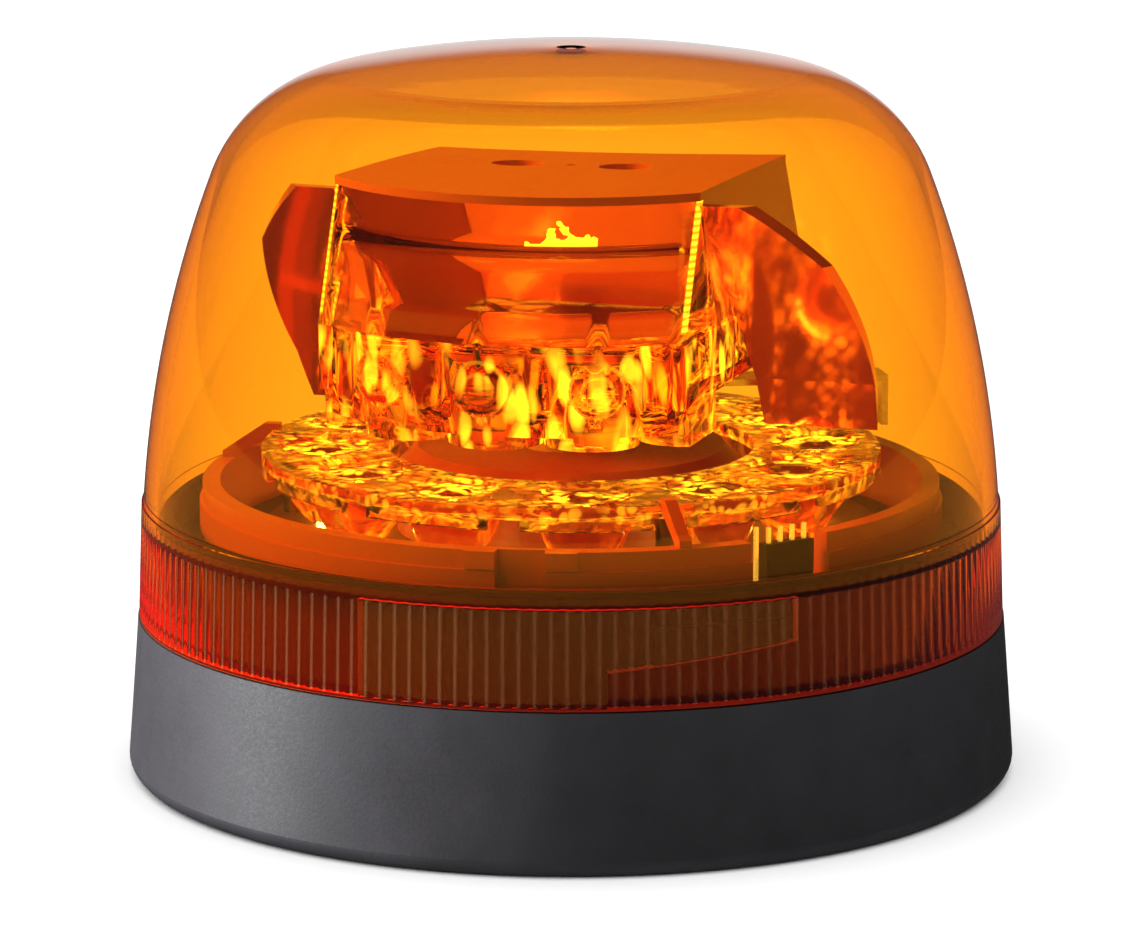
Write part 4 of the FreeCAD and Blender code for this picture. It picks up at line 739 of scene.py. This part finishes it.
def domeProfile(foot):
    outer, inner = domeCurve(0.0), domeCurve(dome["wall"])
    low, high = dome["fluteSpan"]
    rounded = dome["fluteRound"]
    ridge = dome["ridge"][1]
    ridgeIn, ridgeDown = dome["ridgeRound"]

    def skirt(height):
        share = (height - foot) / (ridge - foot)
        return dome["footRadius"] + (dome["skirtTop"] - dome["footRadius"]) * share

    heights = (foot, low, low + rounded, high - rounded, high, ridge - ridgeDown)
    points = [(skirt(z), z) for z in heights]
    points += [(dome["skirtTop"] - ridgeIn, ridge)]

    # the gate's well, with a nib in its middle
    wellRadius, depth, nibRadius, nibHeight = dome["gate"]
    top = outer[-1][1]
    well = top - depth
    points += [p for p in outer if p[0] > wellRadius + dome["gateMargin"]]
    points += [
        (wellRadius + dome["gateRound"], top), (wellRadius, top - dome["gateRound"]),
        (wellRadius - dome["gateTaper"], well), (nibRadius + dome["gateTaper"], well),
        (nibRadius, well + nibHeight), (0.0, well + nibHeight),
    ]
    points += list(reversed(inner))
    points += [(dome["bore"], ridge - dome["boreTop"]), (dome["bore"], dome["recessTop"]),
               (dome["bore"], foot), (dome["recess"], foot)]
    return points


def cutFlutes(piece):
    low, high = dome["fluteSpan"]
    near = dome["near"]
    column = 360.0 / dome["columns"]
    period = dome["columns"] // dome["flutes"]

    def grooved(place, lanes):
        if not low + near < place.z / mm < high - near or fromAxis(place) < dome["recess"] + near:
            return False
        return round(fromFront(place) / column) % period in lanes

    for lanes, share in dome["fluteLanes"]:
        selectPlaces(piece, lambda place: grooved(place, lanes))
        widen(1.0 - dome["fluteDepth"] * share / dome["footRadius"])


def openRecess(piece, foot, turn):
    # a bayonet recess: the bore steps out beside its ramp and over it, and is open at the foot
    near = dome["near"]
    left, right = dome["recessAngles"]
    start, end = dome["rampAngles"]

    def away(place):
        return (fromFront(place) - turn + 180.0) % 360.0 - 180.0

    def inBore(place):
        return abs(fromAxis(place) - dome["bore"]) < near and place.z / mm < dome["recessTop"]

    # the bore is cut along the ramp's line
    corners = []
    for angle, height in zip(dome["rampAngles"], dome["rampHeights"]):
        a = math.radians(angle + turn)
        corners.append(Vector((dome["bore"] * math.sin(a), -dome["bore"] * math.cos(a), height)) * mm)
    middle = math.radians((start + end) / 2 + turn)
    normal = (corners[1] - corners[0]).cross(Vector((math.sin(middle), -math.cos(middle), 0))).normalized()
    if normal.z < 0:
        normal = -normal
    selectPlaces(piece, lambda place: inBore(place) and start < away(place) < end, faces=True)
    bpy.ops.mesh.bisect(plane_co=corners[0], plane_no=normal)

    def inRecess(place):
        if not inBore(place) or not left < away(place) < right:
            return False
        return away(place) < start or (place - corners[0]).dot(normal) > 0

    selectPlaces(piece, inRecess, faces=True)
    bpy.ops.mesh.extrude_region_move(TRANSFORM_OT_translate={"value": (0, 0, 0)})
    widen(dome["recess"] / dome["bore"])

    def underRecess(place):
        if abs(place.z / mm - foot) > near or not left < away(place) < start:
            return False
        return dome["bore"] - near < fromAxis(place) < dome["recess"] + near

    selectPlaces(piece, underRecess, faces=True)
    bpy.ops.mesh.delete(type="FACE")


def weldDome(piece):
    bpy.ops.mesh.select_mode(type="VERT")
    bpy.ops.mesh.select_all(action="SELECT")
    bpy.ops.mesh.remove_doubles(threshold=dome["weld"][2] * mm)
    bpy.ops.mesh.select_all(action="DESELECT")
    bpy.ops.mesh.select_non_manifold()
    bpy.ops.object.mode_set(mode="OBJECT")
    print("dome open edges:", sum(v.select for v in piece.data.vertices))
    bpy.ops.object.shade_smooth_by_angle(angle=math.radians(dome["smooth"]))


def dressDome(piece, slots, foot):
    near = dome["near"]
    low, high = dome["fluteSpan"]
    piece.data.materials.clear()
    for name in (slots["dome"], *dome["finishes"]):
        piece.data.materials.append(finishes[name])
    skirtFinish, fluteFinish, edgeHighlightFinish = 1, 2, 3
    for face in piece.data.polygons:
        out, height = fromAxis(face.center), face.center.z / mm
        if height > dome["ridge"][1] - dome["boreTop"]:
            continue
        # the recess's side walls and the foot take the painted edge highlight
        if dome["bore"] + near < out < dome["recess"] - near or height < foot + near:
            face.material_index = edgeHighlightFinish
        elif out < dome["recess"] + near:
            face.material_index = skirtFinish
        elif low < height < high:
            face.material_index = fluteFinish


def makeDome(slots):
    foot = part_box("dome")[0].z / mm
    piece = profileSpun("amberDome", domeProfile(foot), dome["columns"], dome["weld"])
    print("dome turned:", len(piece.data.vertices), "points")
    cutFlutes(piece)
    for turn in dome["recessTurns"]:
        openRecess(piece, foot, turn)
    weldDome(piece)
    dressDome(piece, slots, foot)
    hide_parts("dome")
    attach(piece, "dome")
    print("dome made:", len(piece.data.polygons), "faces")


# optics
smoothOptics = {
    "pieces": (
        ("rotor_prism", "RotorPrismFine", "rotor"),
        ("collimator_optic", "CollimatorOpticFine", "base"),
    ),
    "weld": 0.01,
    "smooth": 30.0,  # edges under this angle are smoothed
}


def smoothCopy(node, name):
    nothingSelected()
    piece = nodes[node].copy()
    piece.data = nodes[node].data.copy()
    piece.name = name
    bpy.context.scene.collection.objects.link(piece)
    for key in list(piece.keys()):
        if key.startswith("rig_"):
            del piece[key]
    piece.parent = None
    piece.select_set(True)
    bpy.context.view_layer.objects.active = piece
    bpy.ops.object.mode_set(mode="EDIT")
    bpy.ops.mesh.select_all(action="SELECT")
    bpy.ops.mesh.remove_doubles(threshold=smoothOptics["weld"] * mm)
    bpy.ops.object.mode_set(mode="OBJECT")
    bpy.ops.object.shade_smooth_by_angle(angle=math.radians(smoothOptics["smooth"]))
    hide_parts(node)
    return piece


def makeSmoothPieces():
    for node, name, body in smoothOptics["pieces"]:
        piece = smoothCopy(node, name)
        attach(piece, body)
    print("optics smoothed:", len(smoothOptics["pieces"]))


makeCamera()
makeFinishes()
slots = dressNodes()
makeDome(slots)
makeSmoothPieces()
makeSky()
makeLights()
makeFloor()

scene = bpy.context.scene
bounces = 24  # light passes through the dome, the optics and back
scene.view_settings.view_transform = "Standard"
scene.cycles.max_bounces = bounces
scene.cycles.transmission_bounces = bounces
scene.cycles.transparent_max_bounces = bounces
